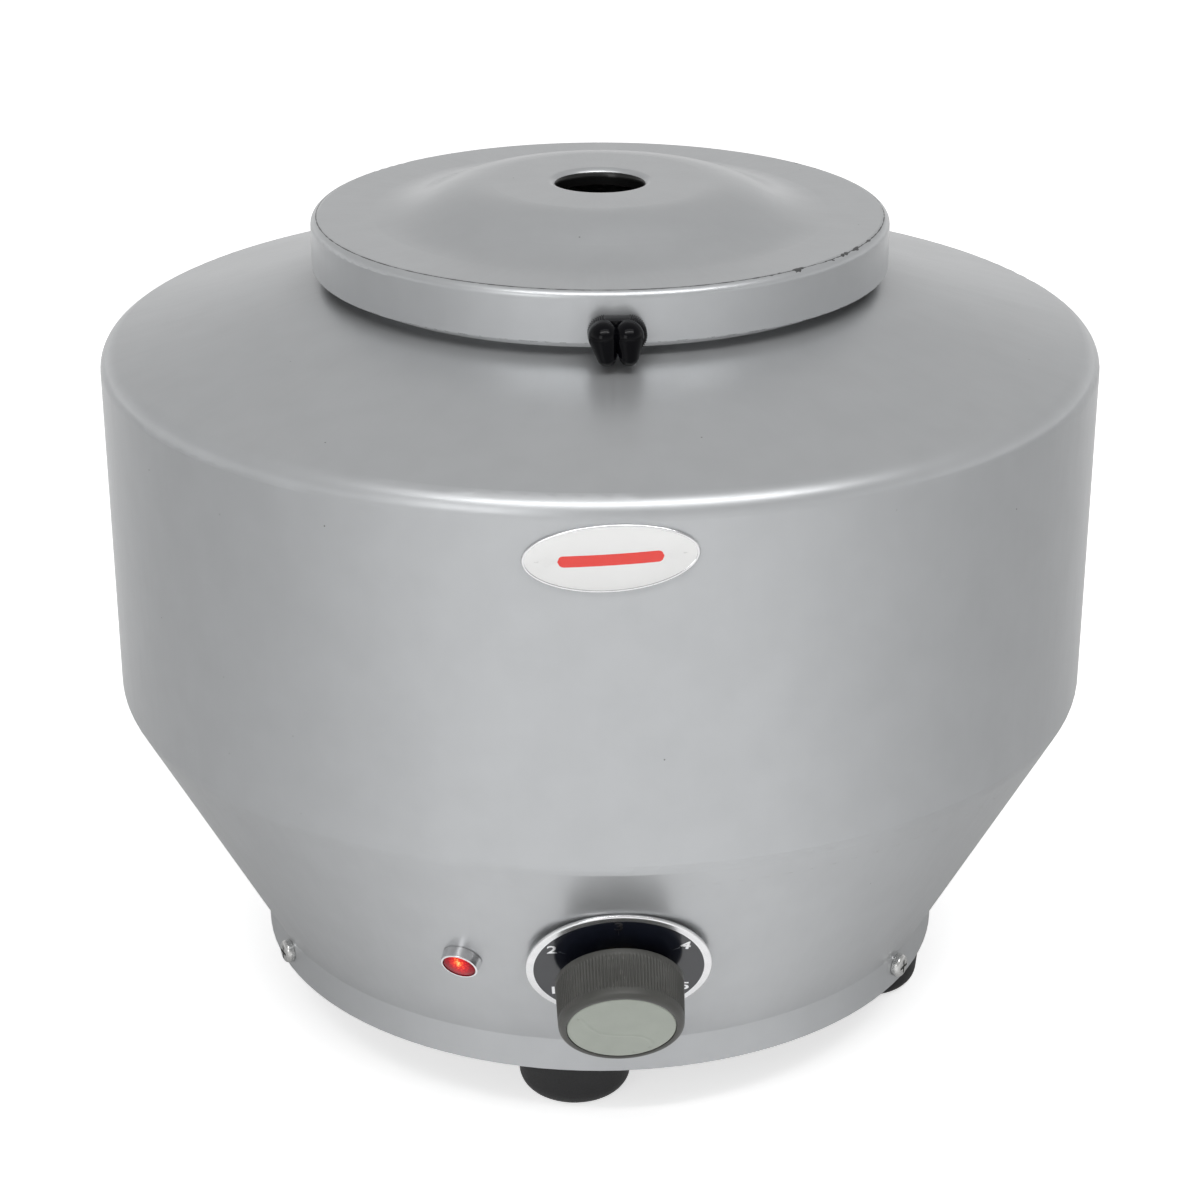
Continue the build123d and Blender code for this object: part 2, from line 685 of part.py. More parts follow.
def regulator_winding():
    """A close winding of resistance wire round the ring, open at its foot."""
    back = -(REGULATOR_BACK + REGULATOR_DEPTH)
    winding = tube(
        REGULATOR_R + WINDING_SHEET,
        REGULATOR_BORE_R - WINDING_SHEET,
        back - WINDING_SHEET,
        -REGULATOR_BACK - REGULATOR_WEB - WINDING_SHEET,
    )
    winding -= tube(REGULATOR_R, REGULATOR_BORE_R, back, -REGULATOR_BACK)
    reach = 2 * REGULATOR_R
    side = reach * math.tan(math.radians(WINDING_GAP_ANGLE / 2))
    wedge = make_face(Polyline((0, 0), (side, -reach), (-side, -reach), close=True))
    winding -= Pos(0, 0, back - 1) * extrude(wedge, REGULATOR_DEPTH + 2)
    return cone_frame(DIAL_Z) * winding


def regulator_bush():
    """The threaded bush that the shaft turns in, and the nut that clamps the dial."""
    front = SEAT + DIAL_SHEET + BUSH_NUT_HEIGHT
    back = -(REGULATOR_BACK + REGULATOR_DEPTH / 2)
    bush = tube(BUSH_R, SPEED_SHAFT_R + RUN_FIT, back, front)
    flange = tube(BUSH_R * 1.8, BUSH_R, -REGULATOR_BACK, -REGULATOR_BACK + 1.5)
    nut = Pos(0, 0, SEAT + DIAL_SHEET) * hex_nut(BUSH_NUT_FLATS, BUSH_NUT_HEIGHT, BUSH_R)
    return group([cone_frame(DIAL_Z) * (bush + flange), cone_frame(DIAL_Z) * nut])


# Pilot lamp

def lamp_frame():
    return turned(LAMP_AZIMUTH) * cone_frame(LAMP_Z)


def lamp_barrel_r():
    return LAMP_LENS_R + LAMP_BARREL_WALL


def lamp_bezel():
    """A chromed bezel on a threaded barrel, with its nut behind the sheet."""
    front = SEAT + LAMP_BEZEL_HEIGHT
    foot_r = lamp_barrel_r() + LAMP_FLANGE
    rim_r = lamp_barrel_r() + LAMP_EDGE
    flange = lathe([(0, SEAT), (foot_r, SEAT), (rim_r, front), (0, front)])
    flange = fillet(flange.edges().group_by(Axis.Z)[-1], LAMP_EDGE)
    bezel = flange + disc(lamp_barrel_r(), -LAMP_BARREL_LENGTH, SEAT)
    bezel -= disc(LAMP_LENS_R, -LAMP_BARREL_LENGTH, front)
    nut = hex_nut(LAMP_NUT_FLATS, LAMP_NUT_HEIGHT, lamp_barrel_r())
    nut = Pos(0, 0, -SHEET - 3 * SEAT - LAMP_NUT_HEIGHT) * nut
    return group([lamp_frame() * bezel, lamp_frame() * nut])


def lamp_lens():
    base = SEAT + LAMP_BEZEL_HEIGHT * 0.4
    lens = disc(LAMP_LENS_R, base, SEAT + LAMP_BEZEL_HEIGHT + LAMP_DOME)
    lens = fillet(lens.edges().group_by(Axis.Z)[-1], LAMP_DOME * 0.9)
    return lamp_frame() * lens


def lamp_body():
    """The lamp in the barrel, with two tags behind it."""
    body = disc(LAMP_LENS_R, -LAMP_BODY_LENGTH, SEAT + LAMP_BEZEL_HEIGHT * 0.4)
    tag = Pos(0, 0, -LAMP_BODY_LENGTH - LAMP_TAG[2] / 2) * Box(*LAMP_TAG)
    for side in (-1, 1):
        body += Pos(0, side * LAMP_LENS_R / 2, 0) * tag
    return lamp_frame() * body


# Base

def grommet_neck_r():
    return GROMMET_BORE_R + GROMMET_WALL


def mains_grommet():
    """A rubber bush with a lip each side of the sheet."""
    lip_r = grommet_neck_r() + GROMMET_LIP
    back = -SHEET - 3 * SEAT
    outer = Pos(0, 0, SEAT) * Cylinder(lip_r, GROMMET_LIP_SHEET, align=ON_BASE)
    outer = fillet(outer.edges().group_by(Axis.Z)[-1], GROMMET_LIP_SHEET * 0.6)
    grommet = outer + disc(grommet_neck_r(), back, SEAT)
    grommet += disc(lip_r, back - GROMMET_LIP_SHEET, back)
    grommet -= disc(GROMMET_BORE_R, back - GROMMET_LIP_SHEET, SEAT + GROMMET_LIP_SHEET)
    return turned(180) * cone_frame(GROMMET_Z) * grommet


def band_screw_frame():
    return front_frame(BAND_R + SEAT / 2, FOOT_HEIGHT + BAND_SCREW_RISE)


def pan_r():
    return BAND_R - SHEET - PAN_GAP


def base_pan():
    """The flat base with a turned-up rim, slotted under the fan."""
    pan = disc(pan_r(), FOOT_HEIGHT, FOOT_HEIGHT + PAN_RIM)
    pan = fillet(pan.edges().group_by(Axis.Z)[0], SHEET)
    pan -= disc(pan_r() - SHEET, PAN_TOP, FOOT_HEIGHT + PAN_RIM)
    through = Cylinder(SCREW_R + SCREW_FIT, 4 * SHEET)
    for place in foot_places():
        pan -= place * Pos(0, 0, FOOT_HEIGHT) * through
    for azimuth in ISOLATOR_AZIMUTHS:
        hole = Cylinder(ISOLATOR_BOLT_R + SCREW_FIT, 4 * SHEET)
        pan -= turned(azimuth) * Pos(0, -ISOLATOR_CIRCLE, FOOT_HEIGHT) * hole
    for azimuth in BAND_SCREW_AZIMUTHS:
        pan -= turned(azimuth) * band_screw_frame() * Cylinder(SCREW_R + SCREW_FIT, 10 * SHEET)
    slot = extrude(Rot(0, 0, 90) * SlotOverall(VENT_LENGTH, VENT_WIDTH), 2 * SHEET)
    for vent in range(VENT_COUNT):
        place = turned(vent * 360 / VENT_COUNT) * Pos(0, -VENT_CIRCLE, FOOT_HEIGHT - SHEET / 2)
        pan -= place * slot
    return pan


def band_screws():
    """The screws through the band, each with its nut inside the pan's rim."""
    pieces = []
    nut_seat = -(BAND_R - pan_r() + SHEET + 2 * SEAT)
    for azimuth in BAND_SCREW_AZIMUTHS:
        place = turned(azimuth) * band_screw_frame()
        pieces.append(place * pan_screw(BAND_SCREW_LENGTH))
        nut = hex_nut(NUT_FLATS, NUT_HEIGHT, SCREW_R)
        pieces.append(place * Pos(0, 0, nut_seat - NUT_HEIGHT) * nut)
    return group(pieces)


def foot_places():
    return [turned(azimuth) * Pos(0, -distance, 0) for azimuth, distance in FEET]


def rubber_feet():
    """Tapered rubber feet, each recessed below for its screw."""
    outline = [
        (SCREW_R + SCREW_FIT, FOOT_HEIGHT),
        (SCREW_R + SCREW_FIT, FOOT_RECESS),
        (FOOT_RECESS_R, FOOT_RECESS),
        (FOOT_RECESS_R, 0),
        (FOOT_BASE_R, 0),
        (FOOT_TOP_R, FOOT_HEIGHT),
    ]
    profile = make_face(FilletPolyline(*outline, radius=[0, 0, 0, 0, FOOT_EDGE, 0], close=True))
    foot = revolve(Plane.XZ * profile, Axis.Z)
    return group([place * foot for place in foot_places()])


def foot_screws():
    """The screws up through the feet, each with its nut on the pan."""
    pieces = []
    length = PAN_TOP + NUT_HEIGHT + 1 - FOOT_RECESS
    for place in foot_places():
        pieces.append(place * Pos(0, 0, FOOT_RECESS) * Rot(180, 0, 0) * pan_screw(length))
        pieces.append(place * Pos(0, 0, PAN_TOP) * hex_nut(NUT_FLATS, NUT_HEIGHT, SCREW_R))
    return group(pieces)


# Motor

def isolators():
    bush = tube(ISOLATOR_R, ISOLATOR_BOLT_R + SCREW_FIT, PAN_TOP, PLATE_Z)
    waist = Pos(0, 0, (PAN_TOP + PLATE_Z) / 2) * Torus(ISOLATOR_R + 1.5, 3)
    bush -= waist
    return group([turned(a) * Pos(0, -ISOLATOR_CIRCLE, 0) * bush for a in ISOLATOR_AZIMUTHS])


def isolator_bolts():
    """A bolt down through each isolator, with its nut under the pan."""
    height = ISOLATOR_BOLT_R * 1.5
    low = FOOT_HEIGHT - height
    head = Pos(0, 0, PLATE_TOP) * extrude(
        RegularPolygon(ISOLATOR_NUT_FLATS / 2, 6, major_radius=False), height
    )
    bolt = head + disc(ISOLATOR_BOLT_R, low, PLATE_TOP)
    nut = Pos(0, 0, low) * hex_nut(ISOLATOR_NUT_FLATS, height, ISOLATOR_BOLT_R)
    pieces = []
    for azimuth in ISOLATOR_AZIMUTHS:
        place = turned(azimuth) * Pos(0, -ISOLATOR_CIRCLE, 0)
        pieces += [place * bolt, place * nut]
    return group(pieces)


def motor_bolt_holes(radius):
    """Cutters, or bolts, through the whole motor."""
    low = PLATE_Z - MOTOR_BOLT_R * 2
    high = UPPER_PLATE_TOP + MOTOR_BOLT_R * 2
    rods = [
        turned(azimuth) * Pos(0, -BOLT_CIRCLE, 0) * disc(radius, low, high)
        for azimuth in MOTOR_BOLT_AZIMUTHS
    ]
    return rods


def motor_lower_bracket():
    """A plate with the lower bearing and a windowed skirt that carries the stator."""
    bracket = disc(MOTOR_PLATE_R, PLATE_Z, PLATE_TOP)
    bracket += tube(STATOR_R, SKIRT_INNER_R, PLATE_TOP, STATOR_Z)
    bracket += disc(HOUSING_R, PLATE_TOP, LOWER_BEARING_Z + BEARING_WIDTH + 1)
    bracket -= disc(BEARING_R, LOWER_BEARING_Z, STATOR_Z)
    bracket -= disc(SHAFT_R + 1, PLATE_Z, LOWER_BEARING_Z)
    for azimuth in ISOLATOR_AZIMUTHS:
        hole = disc(ISOLATOR_BOLT_R + SCREW_FIT, PLATE_Z, PLATE_TOP)
        bracket -= turned(azimuth) * Pos(0, -ISOLATOR_CIRCLE, 0) * hole
    for rod in motor_bolt_holes(MOTOR_BOLT_R + SCREW_FIT):
        bracket -= rod
    window_x = (-WINDOW_WIDTH / 2, WINDOW_WIDTH / 2)
    window_y = (-STATOR_R - 1, -SKIRT_INNER_R + SKIRT_WALL)
    window_z = (PLATE_TOP + WINDOW_EDGE, STATOR_Z - WINDOW_EDGE)
    for azimuth in (0, 180):
        bracket -= turned(azimuth) * block(window_x, window_y, window_z)
    half_width = HOLDER_WIDTH / 2
    half_height = HOLDER_HEIGHT / 2
    return bracket - block(
        (-STATOR_R - 1, STATOR_R + 1),
        (-half_width, half_width),
        (BRUSH_Z - half_height, BRUSH_Z + half_height),
    )


def motor_upper_bracket():
    """The cap over the stator, with the upper bearing in its boss."""
    bracket = tube(STATOR_R, SKIRT_INNER_R, STATOR_TOP, UPPER_PLATE_Z)
    bracket += disc(STATOR_R, UPPER_PLATE_Z, UPPER_PLATE_TOP)
    bracket += disc(HOUSING_R, UPPER_PLATE_TOP, MOTOR_TOP)
    bracket -= disc(BEARING_R, STATOR_TOP, UPPER_BEARING_Z + BEARING_WIDTH)
    bracket -= disc(SHAFT_R + 1, STATOR_TOP, MOTOR_TOP)
    for rod in motor_bolt_holes(MOTOR_BOLT_R + SCREW_FIT):
        bracket -= rod
    return bracket


def stator_core():
    """Laminated ring with a pole at the front and one at the back."""
    inner = STATOR_R - STATOR_WALL
    core = tube(STATOR_R, inner, STATOR_Z, STATOR_TOP)
    shoe = tube(POLE_FACE_R + POLE_SHOE, POLE_FACE_R, STATOR_Z, STATOR_TOP)
    reach = 2 * POLE_FACE_R
    side = reach * math.tan(math.radians(POLE_ARC / 2))
    wedge = make_face(Polyline((0, 0), (side, -reach), (-side, -reach), close=True))
    shoe &= Pos(0, 0, STATOR_Z) * extrude(wedge, STATOR_LENGTH)
    half = POLE_WIDTH / 2
    body = block((-half, half), (-inner - 1, -POLE_FACE_R), (STATOR_Z, STATOR_TOP))
    pole = shoe + (body - disc(POLE_FACE_R + 1, STATOR_Z, STATOR_TOP))
    core += pole
    core += turned(180) * pole
    for rod in motor_bolt_holes(MOTOR_BOLT_R + SCREW_FIT):
        core -= rod
    return core


def field_coils():
    """A taped coil round each pole."""
    low = STATOR_Z - COIL_END
    high = STATOR_TOP + COIL_END
    half = POLE_WIDTH / 2 + AIR
    outer = half + COIL_SHEET
    hoop = block((-outer, outer), (-STATOR_R, 0), (low, high))
    hoop -= block((-half, half), (-STATOR_R, 0), (STATOR_Z - AIR, STATOR_TOP + AIR))
    hoop &= disc(STATOR_R - STATOR_WALL - AIR, low, high)
    hoop -= disc(POLE_FACE_R + POLE_SHOE + AIR, low, high)
    return group([hoop, turned(180) * hoop])


def motor_bolts():
    """The through bolts that hold bracket, stator and cap together."""
    pieces = []
    height = MOTOR_BOLT_R * 1.5
    head = extrude(RegularPolygon(NUT_FLATS / 2, 6, major_radius=False), height)
    for azimuth in MOTOR_BOLT_AZIMUTHS:
        place = turned(azimuth) * Pos(0, -BOLT_CIRCLE, 0)
        shank = disc(MOTOR_BOLT_R, PLATE_Z, UPPER_PLATE_TOP + height + 1)
        pieces.append(place * (shank + Pos(0, 0, PLATE_Z - height) * head))
        nut = hex_nut(NUT_FLATS, height, MOTOR_BOLT_R)
        pieces.append(place * Pos(0, 0, UPPER_PLATE_TOP) * nut)
    return group(pieces)


def bearing_heights():
    return (LOWER_BEARING_Z, UPPER_BEARING_Z)


def ball_bearings():
    """The outer rings and the balls of both bearings."""
    pieces = []
    ball_circle = (BEARING_R + SHAFT_R) / 2
    ball_r = (BEARING_R - SHAFT_R) / 2 - RACE_SHEET - BALL_GAP
    for low in bearing_heights():
        pieces.append(tube(BEARING_R, BEARING_R - RACE_SHEET, low, low + BEARING_WIDTH))
        for ball in range(BALL_COUNT):
            place = turned(ball * 360 / BALL_COUNT)
            pieces.append(place * Pos(ball_circle, 0, low + BEARING_WIDTH / 2) * Sphere(ball_r))
    return group(pieces)


def bearing_inner_rings():
    rings = [
        tube(SHAFT_R + RACE_SHEET, SHAFT_R, low, low + BEARING_WIDTH) for low in bearing_heights()
    ]
    return group(rings)


def fan_z():
    return PAN_TOP + FAN_CLEAR


def motor_shaft():
    return disc(SHAFT_R, fan_z(), HUB_TOP + ROTOR_NUT_HEIGHT - 2)


def armature_core():
    core = tube(ARMATURE_R, SHAFT_R, STATOR_Z, STATOR_TOP)
    slot = block(
        (-ARMATURE_SLOT_WIDTH / 2, ARMATURE_SLOT_WIDTH / 2),
        (ARMATURE_R - ARMATURE_SLOT_DEPTH, ARMATURE_R + 1),
        (STATOR_Z, STATOR_TOP),
    )
    for number in range(ARMATURE_SLOTS):
        core -= turned(number * 360 / ARMATURE_SLOTS) * slot
    return core


def armature_winding():
    """The end turns above and below the core."""
    outer = ARMATURE_R - ARMATURE_SLOT_DEPTH / 2
    inner = SHAFT_R + 3
    ends = []
    for low in (STATOR_Z - WINDING_END, STATOR_TOP):
        end = tube(outer, inner, low, low + WINDING_END)
        rim = -1 if low > STATOR_Z else 0
        ends.append(fillet(end.edges().group_by(Axis.Z)[rim], WINDING_END * 0.4))
    return group(ends)


def commutator():
    return tube(COMMUTATOR_R, SHAFT_R, COMMUTATOR_TOP - COMMUTATOR_LENGTH, COMMUTATOR_TOP)


def carbon_brushes():
    half_width = BRUSH_WIDTH / 2
    half_height = BRUSH_HEIGHT / 2
    start = COMMUTATOR_R - 2
    brush = block(
        (start, COMMUTATOR_R + BRUSH_LENGTH),
        (-half_width, half_width),
        (BRUSH_Z - half_height, BRUSH_Z + half_height),
    )
    face_r = COMMUTATOR_R + BRUSH_CLEAR
    brush -= disc(face_r, BRUSH_Z - BRUSH_HEIGHT, BRUSH_Z + BRUSH_HEIGHT)
    return group([brush, turned(180) * brush])


def brush_holders():
    """Square brass tubes through the skirt, closed by a cap at the outer end."""
    outer = [HOLDER_WIDTH / 2, HOLDER_HEIGHT / 2]
    inner = [BRUSH_WIDTH / 2 + BRUSH_CLEAR, BRUSH_HEIGHT / 2 + BRUSH_CLEAR]
    reach = (HOLDER_START, HOLDER_END)
    holder = block(reach, (-outer[0], outer[0]), (BRUSH_Z - outer[1], BRUSH_Z + outer[1]))
    inside = (HOLDER_START, HOLDER_END - HOLDER_WALL)
    holder -= block(inside, (-inner[0], inner[0]), (BRUSH_Z - inner[1], BRUSH_Z + inner[1]))
    return group([holder, turned(180) * holder])


def brush_springs():
    """The spring behind each brush, as the sleeve that its coils fill."""
    start = COMMUTATOR_R + BRUSH_LENGTH
    length = HOLDER_END - HOLDER_WALL - start
    sleeve = Cylinder(SPRING_R, length, align=ON_BASE)
    sleeve -= Cylinder(SPRING_BORE_R, length, align=ON_BASE)
    spring = Pos(start, 0, BRUSH_Z) * Rot(0, 90, 0) * sleeve
    return group([spring, turned(180) * spring])


def cooling_fan():
    """Straight blades under a disc, on the shaft's lower end."""
    low = fan_z()
    high = PLATE_Z - FAN_CLEAR
    fan = tube(FAN_HUB_R, SHAFT_R, low, high)
    fan += tube(FAN_R, SHAFT_R, high - FAN_SHEET, high)
    half = FAN_SHEET / 2
    blade = block((-half, half), (FAN_HUB_R - 1, FAN_R - 1), (low, high))
    for number in range(FAN_BLADES):
        fan += turned(number * 360 / FAN_BLADES) * blade
    return fan


# Swing-out head, made with its first fork at the front and then turned

def bucket_azimuths():
    return [BUCKET_FIRST_AZIMUTH + number * 360 / BUCKETS for number in range(BUCKETS)]


def fork():
    """Two prongs with open notches for a bucket's trunnions."""
    low = PIVOT_Z - FORK_HALF_HEIGHT - HEAD_SHEET + 1
    high = PIVOT_Z + FORK_HALF_HEIGHT
    along = (-PIVOT_R - FORK_REACH, -HEAD_R + FORK_FOOT)
    notch_r = TRUNNION_R + NOTCH_FIT
    prongs = block((FORK_INNER, FORK_OUTER), along, (low, high))
    prongs += block((-FORK_OUTER, -FORK_INNER), along, (low, high))
    prongs -= across(notch_r, 2 * FORK_OUTER + 2, -PIVOT_R, PIVOT_Z)
    slot_x = (-FORK_OUTER - 1, FORK_OUTER + 1)
    slot_y = (-PIVOT_R - notch_r, -PIVOT_R + notch_r)
    return prongs - block(slot_x, slot_y, (PIVOT_Z, high + 1))


def rotor_head():
    head = disc(HEAD_R, HEAD_TOP - HEAD_SHEET, HEAD_TOP)
    head += disc(HEAD_HUB_R, HUB_Z, HUB_TOP)
    for azimuth in bucket_azimuths():
        head += turned(azimuth) * fork()
    return head - disc(SHAFT_R, HUB_Z, HUB_TOP)


def rotor_nut():
    """A domed nut on the shaft's end."""
    flats = extrude(
        RegularPolygon(ROTOR_NUT_FLATS / 2, 6, major_radius=False), ROTOR_NUT_HEIGHT * 0.6
    )
    dome = Cylinder(ROTOR_NUT_FLATS * 0.42, ROTOR_NUT_HEIGHT, align=ON_BASE)
    dome = fillet(dome.edges().group_by(Axis.Z)[-1], ROTOR_NUT_FLATS * 0.25)
    nut = Pos(0, 0, HUB_TOP) * (flats + dome)
    return nut - disc(SHAFT_R, HUB_TOP, HUB_TOP + ROTOR_NUT_HEIGHT - 2)


def trunnion_ring():
    low = PIVOT_Z - RING_HALF_HEIGHT
    high = PIVOT_Z + RING_HALF_HEIGHT
    ring = disc(RING_R, low, high)
    pins = across(TRUNNION_R, 2 * (FORK_OUTER + TRUNNION_OVERRUN), 0, PIVOT_Z)
    bore = disc(SHIELD_R + RING_GAP, low, high)
    return Pos(0, -PIVOT_R, 0) * (ring + pins - bore)


def tube_shield():
    """A drawn tube with a rolled rim that hangs in its ring."""
    bottom = PIVOT_Z - BUCKET_DROP
    rim = PIVOT_Z + RING_HALF_HEIGHT
    shield = disc(SHIELD_R, bottom, rim)
    shield = fillet(shield.edges().group_by(Axis.Z)[0], SHIELD_END_BEND)
    shield += disc(FLANGE_R, rim, rim + SHIELD_FLANGE_SHEET)
    bore = disc(TUBE_R, bottom + SHIELD_WALL, rim + SHIELD_FLANGE_SHEET)
    shield -= fillet(bore.edges().group_by(Axis.Z)[0], SHIELD_END_BEND - SHIELD_WALL)
    return Pos(0, -PIVOT_R, 0) * shield


def tube_cushion():
    """A rubber pad in the bottom of the shield."""
    bottom = PIVOT_Z - BUCKET_DROP + SHIELD_WALL
    cushion = disc(TUBE_R - CUSHION_GAP, bottom, bottom + CUSHION_HEIGHT)
    cushion = fillet(cushion.edges().group_by(Axis.Z)[0], CUSHION_HEIGHT - CUSHION_GAP / 2)
    return Pos(0, -PIVOT_R, 0) * cushion


# Wiring

def terminal_block():
    half = BLOCK_LENGTH / 2
    body = block(
        (-half, half), (BLOCK_Y, BLOCK_Y + BLOCK_DEPTH), (PAN_TOP, PAN_TOP + BLOCK_HEIGHT)
    )
    middle = Pos(0, BLOCK_Y + BLOCK_DEPTH / 2, PAN_TOP + BLOCK_HEIGHT)
    pole = middle * Cylinder(BLOCK_POLE_R, 4 * BLOCK_POLE_R)
    for number in (-1, 0, 1):
        body -= Pos(number * BLOCK_PITCH, 0, 0) * pole
    return body


def lead(points):
    """An insulated lead along straight runs joined by arcs."""
    places = [Vector(*point) for point in points]
    radii = []
    for before, here, after in zip(places, places[1:], places[2:]):
        run = min((here - before).length, (after - here).length)
        turn = math.radians((here - before).get_angle(after - here))
        radii.append(0.45 * run / math.tan(turn / 2))
    path = FilletPolyline(*places, radius=radii)
    start = Plane(origin=path @ 0, z_dir=path % 0)
    return sweep(start * Circle(LEAD_R), path=path)


def ring_point(radius, azimuth, height):
    angle = math.radians(azimuth)
    return (radius * math.sin(angle), -radius * math.cos(angle), height)


def wiring():
    """Leads from the terminal block to the lamp, the regulator and both brushes."""
    low = PAN_TOP + 5
    track = ISOLATOR_CIRCLE + ISOLATOR_R + 16
    block_x = BLOCK_LENGTH / 2 + 0.02
    block_y = BLOCK_Y + BLOCK_DEPTH / 2
    start_y = BLOCK_Y - 0.02
    brush_x = HOLDER_END + LEAD_R
    leads = []
    lamp_tail = lamp_frame() * Pos(0, 0, -LAMP_BODY_LENGTH - 12)
    lamp_end = lamp_tail.position
    route = [(-block_x, block_y, low), (-block_x - 12, block_y, low)]
    route += [ring_point(track, azimuth, low) for azimuth in (220, 248, 276, 305)]
    route += [ring_point(track + 4, 325, low + 16), (lamp_end.X, lamp_end.Y + 6, lamp_end.Z - 12)]
    leads.append(lead(route + [tuple(lamp_end)]))
    regulator_tail = cone_frame(DIAL_Z) * Pos(6, -REGULATOR_BORE_R + 2, wiper_z() - 10)
    regulator_end = regulator_tail.position
    route = [(block_x, block_y, low), (block_x + 12, block_y, low)]
    route += [ring_point(track, azimuth, low) for azimuth in (140, 112, 84, 56, 32)]
    route += [ring_point(track + 6, 14, low + 12), tuple(regulator_end)]
    leads.append(lead(route))
    for side in (-1, 1):
        route = [
            (side * 11, start_y, low + 3),
            (side * 11, start_y - 7, low + 3),
            (side * 44, start_y - 20, low + 4),
            (side * (MOTOR_PLATE_R + 4), 22, low + 14),
            (side * (MOTOR_PLATE_R + 2), 6, BRUSH_Z - 8),
            (side * brush_x, 1, BRUSH_Z),
        ]
        leads.append(lead(route))
    return group(leads)


def write(name, shape):
    export_step(shape, f"parts/{name}.step")


def main():
    os.makedirs("parts", exist_ok=True)
    single = [
        upper_casing, lower_casing, neck_ring, neck_gasket, chamber_floor, lid,
        lid_hinge_leaf, lid_bracket, hinge_pin, latch_knob, latch_pawl, badge_plate,
        dial_plate, knob_body, knob_cap, regulator_shaft, regulator_core, regulator_winding,
        regulator_bush, lamp_bezel, lamp_lens, lamp_body, mains_grommet, base_pan,
        band_screws, rubber_feet, foot_screws, isolators, isolator_bolts,
        motor_lower_bracket, motor_upper_bracket, stator_core, field_coils, motor_bolts,
        ball_bearings, bearing_inner_rings, motor_shaft, armature_core, armature_winding,
        commutator, carbon_brushes, brush_holders, brush_springs, cooling_fan, rotor_head,
        rotor_nut, terminal_block, wiring,
    ]
    for piece in single:
        write(piece.__name__, piece())
    for number, azimuth in enumerate(bucket_azimuths(), 1):
        for piece in (trunnion_ring, tube_shield, tube_cushion):
            write(f"{piece.__name__}_{number}", turned(azimuth) * piece())


main()
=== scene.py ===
# %% [markdown]
# # A clinical centrifuge, dressed in Blender
# The construction of this centrifuge comes in as a fixed frame: every casing, screw and bearing is
# there at its real size. This lesson gives each piece its finish, and models the small things that
# the eye looks for: the fluted knob, the printed dial, the badge, the lit lamp and the latch.

# %% Load the frame
import math

import bmesh
import bpy
from mathutils import Matrix, Vector


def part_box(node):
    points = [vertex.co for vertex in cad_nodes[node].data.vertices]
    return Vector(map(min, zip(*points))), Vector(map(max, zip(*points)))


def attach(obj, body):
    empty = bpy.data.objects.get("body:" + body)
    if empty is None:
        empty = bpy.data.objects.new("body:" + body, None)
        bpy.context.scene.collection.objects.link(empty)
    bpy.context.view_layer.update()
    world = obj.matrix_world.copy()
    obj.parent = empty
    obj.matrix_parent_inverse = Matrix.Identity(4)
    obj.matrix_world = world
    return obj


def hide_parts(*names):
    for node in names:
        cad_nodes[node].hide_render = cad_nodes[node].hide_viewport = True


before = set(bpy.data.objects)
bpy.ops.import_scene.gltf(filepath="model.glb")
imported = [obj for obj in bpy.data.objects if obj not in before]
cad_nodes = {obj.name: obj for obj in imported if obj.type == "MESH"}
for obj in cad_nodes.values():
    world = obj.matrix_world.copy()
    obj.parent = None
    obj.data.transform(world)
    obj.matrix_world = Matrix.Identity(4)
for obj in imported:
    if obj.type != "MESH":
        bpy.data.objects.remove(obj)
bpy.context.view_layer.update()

MM = 0.001
print("pieces in the frame:", len(cad_nodes))

# %% [markdown]
# ## The camera
# A product picture is taken from a little above, so that the lid and the front both show. The
# camera orbits the foot of the instrument: a distance, a height and a turn set its place, and its
# tilt is a number of its own. A long lens keeps the round casing from looking stretched.

# %% Camera
CAMERA_TURN = math.radians(-2.36)
CAMERA_DISTANCE = 0.897
CAMERA_HEIGHT = 0.5133
CAMERA_DIP = math.radians(22.79)

camera_data = bpy.data.cameras.new("camera")
camera_data.lens = 84
camera_data.sensor_width = 36
camera = bpy.data.objects.new("camera", camera_data)
camera.location = (
    math.sin(CAMERA_TURN) * CAMERA_DISTANCE,
    -math.cos(CAMERA_TURN) * CAMERA_DISTANCE,
    CAMERA_HEIGHT,
)
camera.rotation_euler = (math.pi / 2 - CAMERA_DIP, 0, CAMERA_TURN)
bpy.context.scene.collection.objects.link(camera)
bpy.context.scene.camera = camera
bpy.context.scene.view_settings.view_transform = "Standard"
print("camera at", [round(v, 3) for v in camera.location])

# %% [markdown]
# ## Small helpers for shader nodes
# A shader tree is wires between boxes. Two helpers keep the wiring readable: one adds a node and
# sets or connects its inputs in a single call, and one turns a colour as it is read off a screen
# into the linear numbers that a renderer works in.

# %% Node helpers
def screen_colour(red, green, blue):
    """A colour given as it looks on a screen, 0 to 255, as linear values with full alpha."""
    levels = []
    for level in (red, green, blue):
        share = level / 255
        levels.append(share / 12.92 if share <= 0.04045 else ((share + 0.055) / 1.055) ** 2.4)
    return (*levels, 1.0)


def add_node(tree, kind, inputs=None, **settings):
    """A new node. An input is given a value, or a socket of another node to connect."""
    made = tree.nodes.new(kind)
    for name, value in settings.items():
        setattr(made, name, value)
    for name, value in (inputs or {}).items():
        if isinstance(value, bpy.types.NodeSocket):
            tree.links.new(value, made.inputs[name])
        else:
            made.inputs[name].default_value = value
    return made


def math_node(tree, operation, *values):
    """The result of one sum on numbers or sockets."""
    made = add_node(tree, "ShaderNodeMath", dict(enumerate(values)), operation=operation)
    return made.outputs[0]


def blend_colours(tree, share, first, second):
    """The first colour, turning into the second as the share goes from 0 to 1."""
    made = add_node(tree, "ShaderNodeMix", {0: share, 6: first, 7: second}, data_type="RGBA")
    return made.outputs[2]


